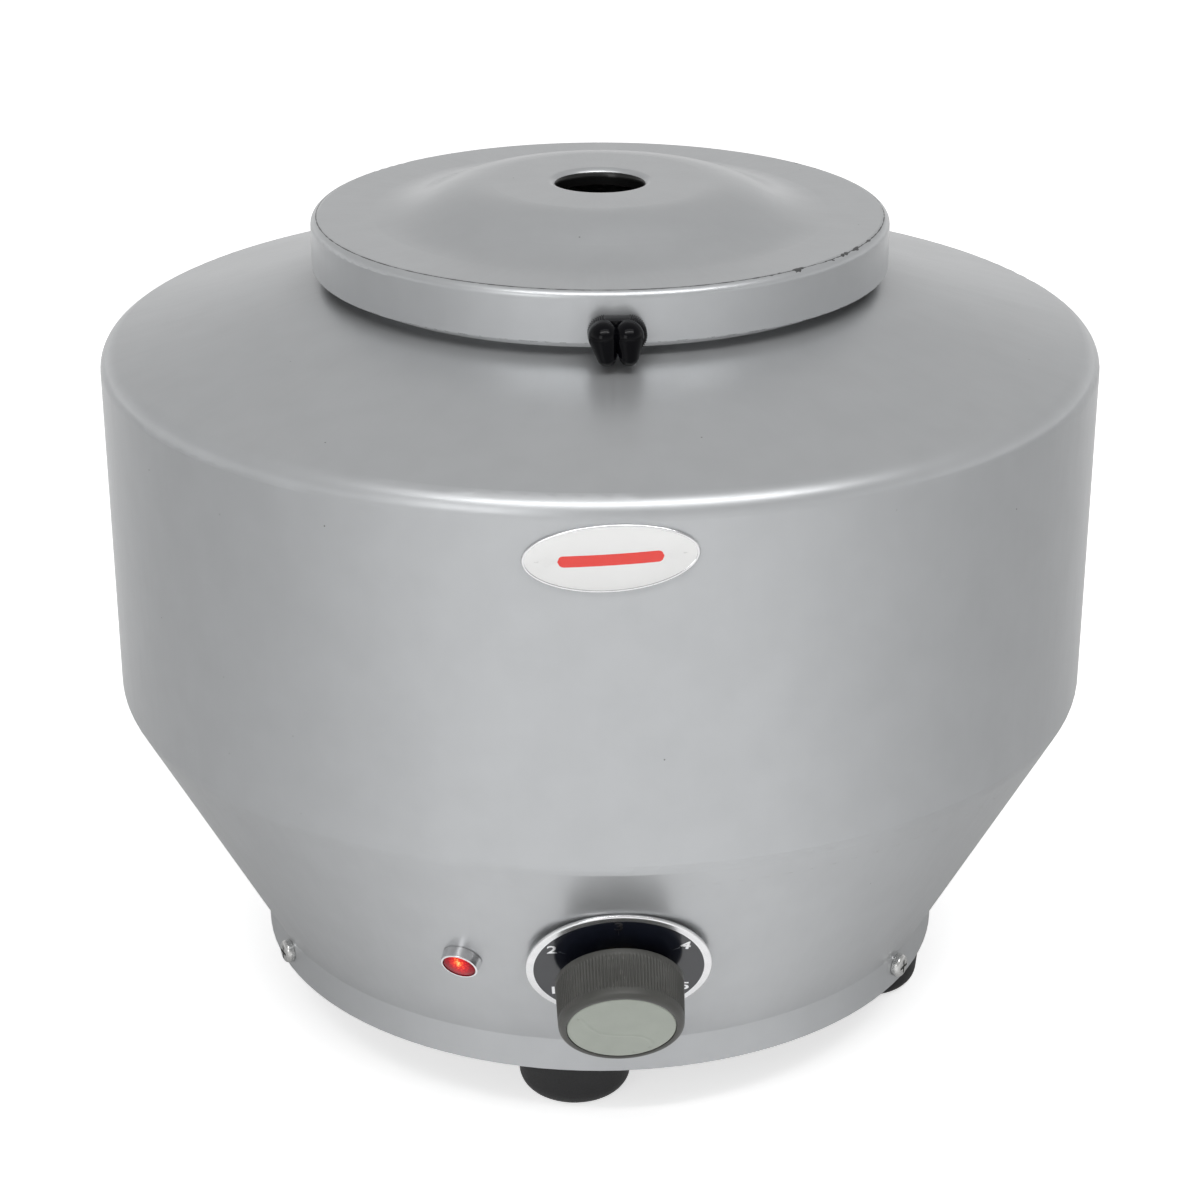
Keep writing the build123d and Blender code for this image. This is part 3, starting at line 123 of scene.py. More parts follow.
def ramp_value(tree, value, low, high, start=0.0, end=1.0):
    """A value taken from the span low..high to the span start..end, and held at its ends."""
    spans = {0: value, 1: low, 2: high, 3: start, 4: end}
    return add_node(tree, "ShaderNodeMapRange", spans).outputs[0]


print("grey 128 is", round(screen_colour(128, 128, 128)[0], 3), "in linear light")

# %% [markdown]
# ## World
# A picture on white needs a white room that doesn't wash out the object. The world is white to the
# camera and gives the object only a soft part of that. Reflections see it dimmer overhead, as a
# ceiling would be, so that the tops of the paint stay grey.

# %% World
WORLD_LIGHT = 0.38
CEILING = 0.50
CEILING_AT = 0.4  # how far up the reflected world is at its dimmest


def seen_directly(tree):
    """1 where the camera, a reflection or a glass looks, and 0 for light that falls on things."""
    path = add_node(tree, "ShaderNodeLightPath")
    glass = path.outputs["Is Transmission Ray"]
    seen = math_node(tree, "MAXIMUM", path.outputs["Is Glossy Ray"], path.outputs["Is Camera Ray"])
    return math_node(tree, "MAXIMUM", seen, glass)


world = bpy.data.worlds.new("studio")
world.use_nodes = True
sky = world.node_tree
way = add_node(sky, "ShaderNodeTexCoord").outputs["Generated"]
upward = add_node(sky, "ShaderNodeSeparateXYZ", {0: way})
mirrored = ramp_value(sky, upward.outputs["Z"], 0.0, CEILING_AT, 1.0, CEILING)
by_camera = add_node(sky, "ShaderNodeLightPath").outputs["Is Camera Ray"]
mirrored = math_node(sky, "MAXIMUM", mirrored, by_camera)
strength = ramp_value(sky, seen_directly(sky), 0, 1, WORLD_LIGHT, mirrored)
sky.links.new(strength, sky.nodes["Background"].inputs["Strength"])
sky.nodes["Background"].inputs["Color"].default_value = (1, 1, 1, 1)
bpy.context.scene.world = world
print("world light:", WORLD_LIGHT)

# %% [markdown]
# ## Floor
# The instrument stands on a pale sweep that takes a real shadow. A little light of its own, seen by
# the camera and by reflections alone, lifts the paper to white. Reflections see it dimmer to the
# sides, which shades the round wall's flanks as a darker room would.

# %% Floor
FLOOR_REACH = 9.0
FLOOR_LIFT = 0.36
FLOOR_WHITE = 0.30
FLOOR_GREY = 0.86
SIDE_SHADE = 0.5
SIDE_SPAN = (0.45, 0.98)  # how far to the side the shade starts and is full

floor_mesh = bpy.data.meshes.new("floor")
shape = bmesh.new()
bmesh.ops.create_circle(shape, cap_ends=True, radius=FLOOR_REACH, segments=96)
shape.to_mesh(floor_mesh)
shape.free()
floor = bpy.data.objects.new("floor", floor_mesh)
bpy.context.scene.collection.objects.link(floor)

floor_paper = bpy.data.materials.new("floor_paper")
floor_paper.use_nodes = True
paper = floor_paper.node_tree
paper_shader = paper.nodes["Principled BSDF"]
paper_shader.inputs["Roughness"].default_value = 0.9
paper_shader.inputs["Emission Color"].default_value = (1, 1, 1, 1)
ground = add_node(paper, "ShaderNodeNewGeometry").outputs["Position"]
way = add_node(paper, "ShaderNodeVectorMath", {0: ground}, operation="NORMALIZE").outputs[0]
sideways = add_node(paper, "ShaderNodeSeparateXYZ", {0: way}).outputs["X"]
aside = ramp_value(paper, math_node(paper, "ABSOLUTE", sideways), *SIDE_SPAN)
ray = add_node(paper, "ShaderNodeLightPath").outputs
aside = math_node(paper, "MULTIPLY", aside, ray["Is Glossy Ray"])
shade = math_node(paper, "MULTIPLY", aside, SIDE_SHADE)
level = math_node(paper, "SUBTRACT", 1.0, shade)
tint = add_node(
    paper, "ShaderNodeVectorMath", {0: (FLOOR_GREY,) * 3, "Scale": level}, operation="SCALE"
)
paper.links.new(tint.outputs[0], paper_shader.inputs["Base Color"])
lift = math_node(paper, "MULTIPLY", level, FLOOR_LIFT)
lift = math_node(paper, "MULTIPLY", seen_directly(paper), lift)
whiter = math_node(paper, "MULTIPLY", ray["Is Camera Ray"], FLOOR_WHITE)
lift = math_node(paper, "ADD", lift, whiter)
paper.links.new(lift, paper_shader.inputs["Emission Strength"])
floor_mesh.materials.append(floor_paper)
print("floor:", FLOOR_REACH * 2, "m across")

# %% [markdown]
# ## Lamps
# A narrow strip and a broad box hang above the front, and a small one stands to the left. The strip
# draws the bright line on the shoulder, and the others keep the shadows soft.

# %% Lamps
LAMPS = {
    # name: place in metres, width and depth in metres, power in watts
    "softbox_strip": ((0.1, -0.95, 1.9), (2.5, 0.2), 14),
    "softbox_top": ((0.12, -0.95, 2.1), (2.3, 1.3), 14),
    "softbox_left": ((-1.1, -1.9, 1.0), (0.9, 0.9), 6),
}
AIM = Vector((0, 0, 0.16))
for name, (place, size, watts) in LAMPS.items():
    lamp_data = bpy.data.lights.new(name, "AREA")
    lamp_data.shape = "RECTANGLE"
    lamp_data.size = size[0]
    lamp_data.size_y = size[1]
    lamp_data.energy = watts
    lamp = bpy.data.objects.new(name, lamp_data)
    lamp.location = place
    lamp.rotation_euler = (AIM - Vector(place)).to_track_quat("-Z", "Y").to_euler()
    bpy.context.scene.collection.objects.link(lamp)
print("lamps:", ", ".join(LAMPS))

# %% [markdown]
# ## Effects that many finishes share
# Real surfaces repeat a few stories: fine grain, spots of dirt, marks left by the lathe, and edges
# rubbed bare. Each story is a node group with its own inputs, built once, and every material tells
# it with its own values. A group gives out only masks and heights, so the shader itself stays in
# the material.

# %% Group helper
def start_group(name, inputs, outputs):
    """An empty node group with number inputs and outputs, and its two end nodes."""
    tree = bpy.data.node_groups.new(name, "ShaderNodeTree")
    for socket, value in inputs.items():
        made = tree.interface.new_socket(socket, in_out="INPUT", socket_type="NodeSocketFloat")
        made.default_value = value
    for socket in outputs:
        tree.interface.new_socket(socket, in_out="OUTPUT", socket_type="NodeSocketFloat")
    return tree, tree.nodes.new("NodeGroupInput"), tree.nodes.new("NodeGroupOutput")


def place_of(tree):
    """The point on the piece itself, in metres, so a pattern travels with the piece."""
    return add_node(tree, "ShaderNodeTexCoord").outputs["Object"]


def group_node(tree, group, **values):
    """A group placed in a material, with its inputs set by name."""
    made = tree.nodes.new("ShaderNodeGroup")
    made.node_tree = group
    for name, value in values.items():
        made.inputs[name.replace("_", " ")].default_value = value
    return made.outputs


# %% [markdown]
# ### Grain
# Paint dries with a faint ripple, and moulded plastic keeps the fine texture of its mould. Noise
# at two sizes does both: a broad one for the ripple and a fine one for the grain.

# %% Grain group
grain, ends, out = start_group("grain", {"Size mm": 1.0, "Ripple mm": 8.0}, ["Fine", "Ripple"])
spot = place_of(grain)
for size, result in (("Size mm", "Fine"), ("Ripple mm", "Ripple")):
    scale = math_node(grain, "DIVIDE", 1 / MM, ends.outputs[size])
    noise = add_node(grain, "ShaderNodeTexNoise", {"Vector": spot, "Scale": scale, "Detail": 2.5})
    grain.links.new(noise.outputs[0], out.inputs[result])
print("group:", grain.name)

# %% [markdown]
# ### Specks
# A handled surface carries dark specks, few and far between. Cells of a Voronoi pattern each hold
# one dot, and a random number per cell decides whether its dot is there at all.

# %% Speck group
specks, ends, out = start_group(
    "specks", {"Spacing mm": 9.0, "Dot mm": 0.3, "Share": 0.3}, ["Mask"]
)
scale = math_node(specks, "DIVIDE", 1 / MM, ends.outputs["Spacing mm"])
cells = add_node(specks, "ShaderNodeTexVoronoi", {"Vector": place_of(specks), "Scale": scale})
dot = math_node(specks, "DIVIDE", ends.outputs["Dot mm"], ends.outputs["Spacing mm"])
inside = math_node(specks, "LESS_THAN", cells.outputs["Distance"], dot)
parts = add_node(specks, "ShaderNodeSeparateColor", {0: cells.outputs["Color"]})
chosen = math_node(specks, "LESS_THAN", parts.outputs[0], ends.outputs["Share"])
specks.links.new(math_node(specks, "MULTIPLY", inside, chosen), out.inputs["Mask"])
print("group:", specks.name)

# %% [markdown]
# ### Lathe marks
# Spun and turned pieces keep streaks in the direction the tool or the polishing cloth went. Noise
# read at a point's direction from the axis and its height gives them: squeezed along the height it
# makes rings, and squeezed round the axis it makes upright streaks.

# %% Lathe mark group
lathe_marks, ends, out = start_group(
    "lathe marks", {"Rings per mm": 1.0, "Streaks": 40.0}, ["Height"]
)
spot = place_of(lathe_marks)
level = add_node(lathe_marks, "ShaderNodeVectorMath", {0: spot, 1: (1, 1, 0)}, operation="MULTIPLY")
facing = add_node(lathe_marks, "ShaderNodeVectorMath", {0: level.outputs[0]}, operation="NORMALIZE")
turned = add_node(
    lathe_marks, "ShaderNodeVectorMath",
    {0: facing.outputs[0], "Scale": ends.outputs["Streaks"]}, operation="SCALE",
)
out_by = add_node(lathe_marks, "ShaderNodeVectorMath", {0: level.outputs[0]}, operation="LENGTH")
height = add_node(lathe_marks, "ShaderNodeSeparateXYZ", {0: spot}).outputs["Z"]
along = math_node(lathe_marks, "ADD", height, out_by.outputs["Value"])
rings = math_node(lathe_marks, "MULTIPLY", ends.outputs["Rings per mm"], 1 / MM)
lifted = add_node(
    lathe_marks, "ShaderNodeCombineXYZ", {2: math_node(lathe_marks, "MULTIPLY", along, rings)}
)
where = add_node(lathe_marks, "ShaderNodeVectorMath", {0: turned.outputs[0], 1: lifted.outputs[0]})
noise = add_node(lathe_marks, "ShaderNodeTexNoise", {"Vector": where.outputs[0], "Scale": 1.0})
lathe_marks.links.new(noise.outputs[0], out.inputs["Height"])
print("group:", lathe_marks.name)

# %% [markdown]
# ### Worn edges
# Hands and cloths rub paint off the corners first. A bevel node reads the surface as if its edges
# were rounded: where that differs from the true surface there is an edge. Noise breaks the line
# up, because wear is never even.

# %% Worn edge group
worn_edges, ends, out = start_group(
    "worn edges", {"Reach mm": 0.5, "Break up mm": 3.0, "Amount": 0.5}, ["Mask"]
)
reach = math_node(worn_edges, "MULTIPLY", ends.outputs["Reach mm"], MM)
rounded = add_node(worn_edges, "ShaderNodeBevel", {"Radius": reach}, samples=4)
flat = add_node(worn_edges, "ShaderNodeNewGeometry").outputs["Normal"]
match = add_node(
    worn_edges, "ShaderNodeVectorMath", {0: rounded.outputs[0], 1: flat}, operation="DOT_PRODUCT"
)
edge = ramp_value(worn_edges, match.outputs["Value"], 0.995, 0.90)
scale = math_node(worn_edges, "DIVIDE", 1 / MM, ends.outputs["Break up mm"])
patches = add_node(
    worn_edges, "ShaderNodeTexNoise", {"Vector": place_of(worn_edges), "Scale": scale}
)
bare = math_node(worn_edges, "SUBTRACT", 1.0, ends.outputs["Amount"])
broken = ramp_value(worn_edges, patches.outputs[0], bare, math_node(worn_edges, "ADD", bare, 0.08))
worn_edges.links.new(math_node(worn_edges, "MULTIPLY", edge, broken), out.inputs["Mask"])
print("group:", worn_edges.name)

# %% [markdown]
# ### Settled dust
# Dust lies on what faces up and gathers in patches. The piece's own normal says what faces up
# while it is shut, and stays with the piece when it swings open.

# %% Dust group
dust, ends, out = start_group("dust", {"Amount": 0.3, "Patch mm": 20.0}, ["Mask"])
own_normal = add_node(dust, "ShaderNodeTexCoord").outputs["Normal"]
upward = add_node(dust, "ShaderNodeSeparateXYZ", {0: own_normal}).outputs["Z"]
scale = math_node(dust, "DIVIDE", 1 / MM, ends.outputs["Patch mm"])
spot = place_of(dust)
cloud = add_node(dust, "ShaderNodeTexNoise", {"Vector": spot, "Scale": scale, "Detail": 6})
lying = math_node(dust, "MULTIPLY", ramp_value(dust, upward, 0.3, 1), cloud.outputs[0])
dust.links.new(math_node(dust, "MULTIPLY", lying, ends.outputs["Amount"]), out.inputs["Mask"])
print("group:", dust.name)

# %% [markdown]
# ## A finish from shared effects
# Most finishes differ in a few numbers: colour, how much it mirrors, how rough it is, the size of
# its grain and how far its edges are rubbed. One function wires the shared groups to a Principled
# shader. What is the same all over the piece is set on the shader, and only what changes over the
# surface comes through wires.

# %% Finish function
DIRT_COLOUR = (0.05, 0.048, 0.045, 1)
DIRT_STRENGTH = 0.6
DUST_COLOUR = (0.55, 0.53, 0.50, 1)
DUST_ROUGHNESS = 0.5
DUST_PATCH = 25.0
NOISE_SPAN = (0.3, 0.7)   # between these a noise has nearly all its values
RIPPLE_SHARE = 4          # how much deeper the ripple is than the grain
WEAR_DEPTH = 0.01


def finish(
    name, colour, rough, metallic=0.0, coat=0.0, coat_rough=0.1, specular=0.5,
    grain_mm=0.6, ripple_mm=8.0, bump_mm=0.004, rough_swing=0.08, tone_swing=0.06,
    wear=0.0, wear_colour=None, wear_mm=0.4, wear_patch_mm=3.0, wear_rough=0.35,
    dirt=0.0, dirt_mm=9.0, dirt_dot_mm=0.3, dusty=0.0, rings=0.0, streaks=0.0, marks_mm=0.003,
):
    """A material of shared effects. Colours are linear, lengths are in millimetres."""
    made = bpy.data.materials.new(name)
    made.use_nodes = True
    tree = made.node_tree
    shader = tree.nodes["Principled BSDF"]
    shader.inputs["Metallic"].default_value = metallic
    shader.inputs["Coat Weight"].default_value = coat
    shader.inputs["Coat Roughness"].default_value = coat_rough
    shader.inputs["Specular IOR Level"].default_value = specular

    grains = group_node(tree, grain, Size_mm=grain_mm, Ripple_mm=ripple_mm)
    tone = ramp_value(tree, grains["Ripple"], *NOISE_SPAN, 1 - tone_swing, 1 + tone_swing)
    lit = add_node(
        tree, "ShaderNodeVectorMath", {0: colour[:3], "Scale": tone}, operation="SCALE"
    ).outputs[0]
    smoothest = max(rough - rough_swing, 0.02)
    roughness = ramp_value(tree, grains["Fine"], *NOISE_SPAN, smoothest, rough + rough_swing)
    height = math_node(tree, "MULTIPLY", grains["Fine"], bump_mm)
    waves = math_node(tree, "MULTIPLY", grains["Ripple"], bump_mm * RIPPLE_SHARE)
    height = math_node(tree, "ADD", height, waves)
    if rings or streaks:
        marks = group_node(tree, lathe_marks, Rings_per_mm=rings, Streaks=streaks)["Height"]
        height = math_node(tree, "ADD", height, math_node(tree, "MULTIPLY", marks, marks_mm))
        swing = ramp_value(tree, marks, *NOISE_SPAN, -rough_swing, rough_swing)
        roughness = math_node(tree, "ADD", roughness, swing)
    if dirt:
        spots = group_node(tree, specks, Spacing_mm=dirt_mm, Dot_mm=dirt_dot_mm, Share=dirt)["Mask"]
        spots = math_node(tree, "MULTIPLY", spots, DIRT_STRENGTH)
        lit = blend_colours(tree, spots, lit, DIRT_COLOUR)
    if dusty:
        film = group_node(tree, dust, Amount=dusty, Patch_mm=DUST_PATCH)["Mask"]
        lit = blend_colours(tree, film, lit, DUST_COLOUR)
        dull = math_node(tree, "MULTIPLY", film, DUST_ROUGHNESS)
        roughness = math_node(tree, "ADD", roughness, dull)
    if wear:
        rubbed = group_node(
            tree, worn_edges, Reach_mm=wear_mm, Break_up_mm=wear_patch_mm, Amount=wear
        )["Mask"]
        lit = blend_colours(tree, rubbed, lit, wear_colour)
        gap = ramp_value(tree, rubbed, 0, 1, 0, wear_rough - rough)
        roughness = math_node(tree, "ADD", roughness, gap)
        dent = math_node(tree, "MULTIPLY", rubbed, WEAR_DEPTH)
        height = math_node(tree, "SUBTRACT", height, dent)
    bump = add_node(tree, "ShaderNodeBump", {"Height": height, "Strength": 1.0, "Distance": MM})
    tree.links.new(lit, shader.inputs["Base Color"])
    tree.links.new(roughness, shader.inputs["Roughness"])
    tree.links.new(bump.outputs[0], shader.inputs["Normal"])
    return made


def dress(material, *nodes):
    """Puts a material on pieces of the frame, without touching their meshes."""
    for node in nodes:
        piece = cad_nodes[node]
        for place in piece.material_slots:
            place.link = "OBJECT"
            place.material = material


BARE_STEEL = (0.50, 0.49, 0.48, 1)
BARE_ALUMINIUM = (0.72, 0.72, 0.72, 1)

# %% [markdown]
# ## Silver paint on the casing
# The casing is spun steel sheet under one coat of silver paint, satin with a clear gloss. A little
# over half metallic gives both the soft mirror of the paint's flakes and its even grey, and a thin
# coat adds the sharper sheen on top. Faint upright streaks are left from rubbing down.

# %% Casing paint
SILVER = screen_colour(183, 185, 187)
casing_paint = finish(
    "casing_paint", SILVER, rough=0.36, metallic=0.58, coat=0.25, coat_rough=0.12,
    grain_mm=0.35, ripple_mm=14, bump_mm=0.0012, rough_swing=0.02, tone_swing=0.02,
    dirt=0.28, dirt_mm=11, dirt_dot_mm=0.28, dusty=0.08, rings=0.03, streaks=70, marks_mm=0.0008,
    wear=0.42, wear_colour=BARE_STEEL, wear_mm=0.3,
)
dress(casing_paint, "upper_casing", "lower_casing", "neck_ring")

lid_paint = finish(
    "lid_paint", SILVER, rough=0.34, metallic=0.58, coat=0.25, coat_rough=0.12,
    grain_mm=0.35, ripple_mm=12, bump_mm=0.0012, rough_swing=0.02, tone_swing=0.02,
    dirt=0.3, dirt_mm=10, dirt_dot_mm=0.28, dusty=0.06, rings=0.05, streaks=60, marks_mm=0.001,
    wear=0.5, wear_colour=(0.10, 0.10, 0.10, 1), wear_mm=0.5,
)
dress(lid_paint, "lid")

# %% [markdown]
# ## Painted shade on the lid's bend and in its hole
# A fine dark line of painted shade runs round the lid's top just inside its bend, with real chips
# of paint gone on the right. Both are masks of the distance from the lid's axis, and noise makes
# them ragged. Inside the hole the sheet is painted dark as shade, and only its lip catches light.

# %% Painted shade line, chips and hole shade
SHADE_LINE_R = 92.9
SHADE_LINE_HALF = 0.22
SHADE_LINE_HEIGHTS = (273.8, 274.4)  # the mask starts and is full, so the underside stays plain
# painted shade along the lid's bend and the real paint chips share this darkness and colour
SHADE_AND_CHIP_DARKNESS = 0.85
SHADE_AND_CHIP_COLOUR = (0.02, 0.02, 0.02, 1)
FLAKE_SCALE = 260
CHIP_REACH = 0.9               # how far a chip goes either side of the shade line
CHIP_TOWARDS = 0.7             # to the right, as the x of a direction, and how far either side
CHIP_SPREAD = (0.25, 0.1)
HOLE_R = 14.3
HOLE_LIP = 0.6
# painted shade: the inside of the lid's hole is coloured near black
HOLE_SHADE_COLOUR = (0.012, 0.012, 0.012, 1)

tree = lid_paint.node_tree
shader = tree.nodes["Principled BSDF"]
spot = place_of(tree)
level = add_node(tree, "ShaderNodeVectorMath", {0: spot, 1: (1, 1, 0)}, operation="MULTIPLY")
out_by = add_node(tree, "ShaderNodeVectorMath", {0: level.outputs[0]}, operation="LENGTH")
out_by = out_by.outputs["Value"]
facing = add_node(tree, "ShaderNodeVectorMath", {0: level.outputs[0]}, operation="NORMALIZE")
right = add_node(tree, "ShaderNodeSeparateXYZ", {0: facing.outputs[0]}).outputs["X"]
above = add_node(tree, "ShaderNodeSeparateXYZ", {0: spot}).outputs["Z"]
above = ramp_value(tree, above, *[height * MM for height in SHADE_LINE_HEIGHTS])
flakes = add_node(tree, "ShaderNodeTexNoise", {"Vector": spot, "Scale": FLAKE_SCALE, "Detail": 5})
flakes = flakes.outputs[0]
side = math_node(tree, "ABSOLUTE", math_node(tree, "SUBTRACT", right, CHIP_TOWARDS))
chips = ramp_value(tree, flakes, 0.52, 0.66, 0, CHIP_REACH * MM)
chip_half = math_node(tree, "MULTIPLY", ramp_value(tree, side, *CHIP_SPREAD), chips)
# painted shade: the width of the dark line along the lid's bend
shade_line_half = ramp_value(tree, flakes, 0.35, 0.6, 0.4 * SHADE_LINE_HALF * MM, SHADE_LINE_HALF * MM)
half = math_node(tree, "ADD", shade_line_half, chip_half)
off_shade_line = math_node(tree, "ABSOLUTE", math_node(tree, "SUBTRACT", out_by, SHADE_LINE_R * MM))
shade_line_and_chips = math_node(tree, "MULTIPLY", math_node(tree, "LESS_THAN", off_shade_line, half), above)
# painted shade: dark colour inside the hole, out to just past its edge
hole_shade_mask = math_node(tree, "LESS_THAN", out_by, (HOLE_R + HOLE_LIP) * MM)
painted = shader.inputs["Base Color"].links[0].from_socket
# painted shade along the bend, together with real chips, then painted shade inside the hole
shaded_and_chipped = blend_colours(tree, math_node(tree, "MULTIPLY", shade_line_and_chips, SHADE_AND_CHIP_DARKNESS), painted, SHADE_AND_CHIP_COLOUR)
shaded_and_chipped = blend_colours(tree, hole_shade_mask, shaded_and_chipped, HOLE_SHADE_COLOUR)
tree.links.new(shaded_and_chipped, shader.inputs["Base Color"])
print("lid seam at radius", SHADE_LINE_R, "mm")

# %% [markdown]
# ## Chamber
# The floor under the head wears the same paint, duller and dustier, with rings left by spinning.
# Nobody polishes the inside, and spilt sample and tube dust settle there.

# %% Chamber paint
chamber_paint = finish(
    "chamber_paint", screen_colour(190, 191, 190), rough=0.42, metallic=0.5, coat=0.15,
    grain_mm=0.5, ripple_mm=10, bump_mm=0.002, dirt=0.4, dirt_mm=8, dusty=0.25,
    rings=0.4, streaks=12, marks_mm=0.004, wear=0.4, wear_colour=BARE_STEEL,
)
dress(chamber_paint, "chamber_floor")
print("painted:", casing_paint.name, lid_paint.name, chamber_paint.name)

# %% [markdown]
# ## Bare metals
# Fasteners and brackets are plated steel, and shafts are ground. Metals are fully metallic or
# nearly so, and differ in colour, in roughness and in the marks of how they were made. The base
# pan is steel under black paint, so it isn't metallic, and is steel grey where the paint is rubbed.

# %% Steel and chrome
plated_steel = finish(
    "plated_steel", (0.62, 0.62, 0.61, 1), rough=0.26, metallic=1.0, grain_mm=0.25,
    ripple_mm=3, bump_mm=0.002, rough_swing=0.07, tone_swing=0.08,
    wear=0.4, wear_colour=(0.75, 0.75, 0.74, 1), wear_mm=0.2, dirt=0.4, dirt_mm=3, dirt_dot_mm=0.15,
)
dress(
    plated_steel, "lid_hinge_leaf", "lid_bracket", "latch_pawl", "band_screws",
    "foot_screws", "isolator_bolts", "motor_bolts", "rotor_nut", "brush_springs",
    *[f"trunnion_ring_{number}" for number in range(1, 5)],
)
shaft_steel = finish(
    "shaft_steel", (0.56, 0.57, 0.58, 1), rough=0.18, metallic=1.0, grain_mm=0.2, ripple_mm=4,
    bump_mm=0.001, rings=6, streaks=2, marks_mm=0.002,
)
dress(
    shaft_steel, "hinge_pin", "regulator_shaft", "ball_bearings", "bearing_inner_rings",
    "motor_shaft",
)
pan_steel = finish(
    "pan_steel", (0.022, 0.022, 0.024, 1), rough=0.5, grain_mm=0.6, ripple_mm=5, bump_mm=0.006,
    wear=0.45, wear_colour=BARE_STEEL, dusty=0.2,
)
dress(pan_steel, "base_pan")
chrome = finish(
    "chrome", (0.72, 0.72, 0.73, 1), rough=0.12, metallic=1.0, grain_mm=0.3, ripple_mm=3,
    bump_mm=0.001, rough_swing=0.04, tone_swing=0.03, dirt=0.3, dirt_mm=2.5, dirt_dot_mm=0.1,
)
dress(chrome, "lamp_bezel")
print("steel and chrome:", plated_steel.name, shaft_steel.name, pan_steel.name, chrome.name)

# %% [markdown]
# ### Aluminium, brass and windings
# The head is turned and shows its rings, the shields are drawn and handled, and the brackets are
# cast and grainy. Stacked sheets and wound wire are marks too: fine deep rings stand for both.

# %% Aluminium, brass and windings
motor_casting = finish(
    "motor_casting", (0.46, 0.47, 0.48, 1), rough=0.5, metallic=0.9, grain_mm=1.2, ripple_mm=6,
    bump_mm=0.03, wear=0.4, wear_colour=BARE_ALUMINIUM, dusty=0.2,
)
dress(motor_casting, "motor_lower_bracket", "motor_upper_bracket")
head_aluminium = finish(
    "head_aluminium", (0.62, 0.63, 0.64, 1), rough=0.3, metallic=1.0, grain_mm=0.3, ripple_mm=6,
    bump_mm=0.002, rings=3, streaks=3, marks_mm=0.006, wear=0.4, wear_colour=BARE_ALUMINIUM,
)
dress(head_aluminium, "rotor_head")
shield_aluminium = finish(
    "shield_aluminium", (0.68, 0.68, 0.69, 1), rough=0.28, metallic=1.0, grain_mm=0.3,
    ripple_mm=9, bump_mm=0.003, rough_swing=0.09, tone_swing=0.05,
    wear=0.45, wear_colour=(0.82, 0.82, 0.82, 1), dirt=0.3, dirt_mm=6, dirt_dot_mm=0.3,
)
dress(shield_aluminium, *[f"tube_shield_{number}" for number in range(1, 5)])
brass = finish(
    "brass", (0.60, 0.42, 0.16, 1), rough=0.25, metallic=1.0, grain_mm=0.3, ripple_mm=3,
    bump_mm=0.002, tone_swing=0.12, rings=4, streaks=2,
)
dress(brass, "regulator_bush", "brush_holders")
laminations = finish(
    "laminations", (0.16, 0.16, 0.17, 1), rough=0.45, metallic=0.9, grain_mm=0.4, ripple_mm=5,
    bump_mm=0.004, rings=1.6, streaks=0.5, marks_mm=0.05,
)
dress(laminations, "stator_core", "armature_core")
copper_winding = finish(
    "copper_winding", (0.42, 0.14, 0.055, 1), rough=0.28, metallic=0.7, coat=0.6,
    grain_mm=0.5, ripple_mm=4, bump_mm=0.01, rings=1.4, streaks=0.5, marks_mm=0.12,
)
dress(copper_winding, "field_coils", "armature_winding", "commutator")
resistance_wire = finish(
    "resistance_wire", (0.30, 0.27, 0.24, 1), rough=0.35, metallic=0.9, grain_mm=0.4,
    ripple_mm=3, bump_mm=0.01, rings=0.2, streaks=160, marks_mm=0.08,
)
dress(resistance_wire, "regulator_winding")
print("materials so far:", len(bpy.data.materials))

# %% [markdown]
# ## Rubber
# Rubber mirrors little, so its colour and the texture of its mould carry the look. The feet gather
# dust and are rubbed grey at their edges, and the cushions in the tube shields are red.

# %% Rubber
foot_rubber = finish(
    "foot_rubber", (0.016, 0.016, 0.017, 1), rough=0.55, specular=0.4, grain_mm=0.5,
    ripple_mm=5, bump_mm=0.01, wear=0.5, wear_colour=(0.06, 0.06, 0.06, 1), dusty=0.35,
)
dress(foot_rubber, "rubber_feet", "isolators")
seal_rubber = finish(
    "seal_rubber", (0.018, 0.018, 0.018, 1), rough=0.5, grain_mm=0.4, ripple_mm=6,
    bump_mm=0.006, dusty=0.15,
)
dress(seal_rubber, "neck_gasket", "mains_grommet")
cushion_rubber = finish(
    "cushion_rubber", (0.20, 0.035, 0.02, 1), rough=0.6, grain_mm=0.4, ripple_mm=4, bump_mm=0.01,
)
dress(cushion_rubber, *[f"tube_cushion_{number}" for number in range(1, 5)])
print("rubbers:", foot_rubber.name, seal_rubber.name, cushion_rubber.name)

# %% [markdown]
# ## Plastic, enamel and ceramic
# The latch is a glossy black moulding and the knob a dull grey one, paler where its flutes are
# rubbed. The badge is enamel: smooth, with a clear coat that catches the light.

# %% Plastic, enamel and ceramic
latch_plastic = finish(
    "latch_plastic", (0.002, 0.002, 0.003, 1), rough=0.1, specular=0.12,
    grain_mm=0.3, ripple_mm=3, bump_mm=0.002, rough_swing=0.05, dirt=0.3, dirt_mm=2.5,
    dirt_dot_mm=0.08,
)
knob_plastic = finish(
    "knob_plastic", screen_colour(72, 72, 69), rough=0.42, specular=0.35, grain_mm=0.25,
    ripple_mm=4, bump_mm=0.003, wear=0.4, wear_colour=screen_colour(120, 120, 115), wear_mm=0.2,
)
cap_plastic = finish(
    "cap_plastic", screen_colour(170, 176, 166), rough=0.4, grain_mm=0.25, ripple_mm=6,
    bump_mm=0.003, tone_swing=0.03, dirt=0.35, dirt_mm=5, dirt_dot_mm=0.12,
)
badge_enamel = finish(
    "badge_enamel", screen_colour(240, 240, 239), rough=0.12, coat=0.5, coat_rough=0.04,
    grain_mm=0.4, ripple_mm=9, bump_mm=0.0008, rough_swing=0.03, tone_swing=0.01,
)
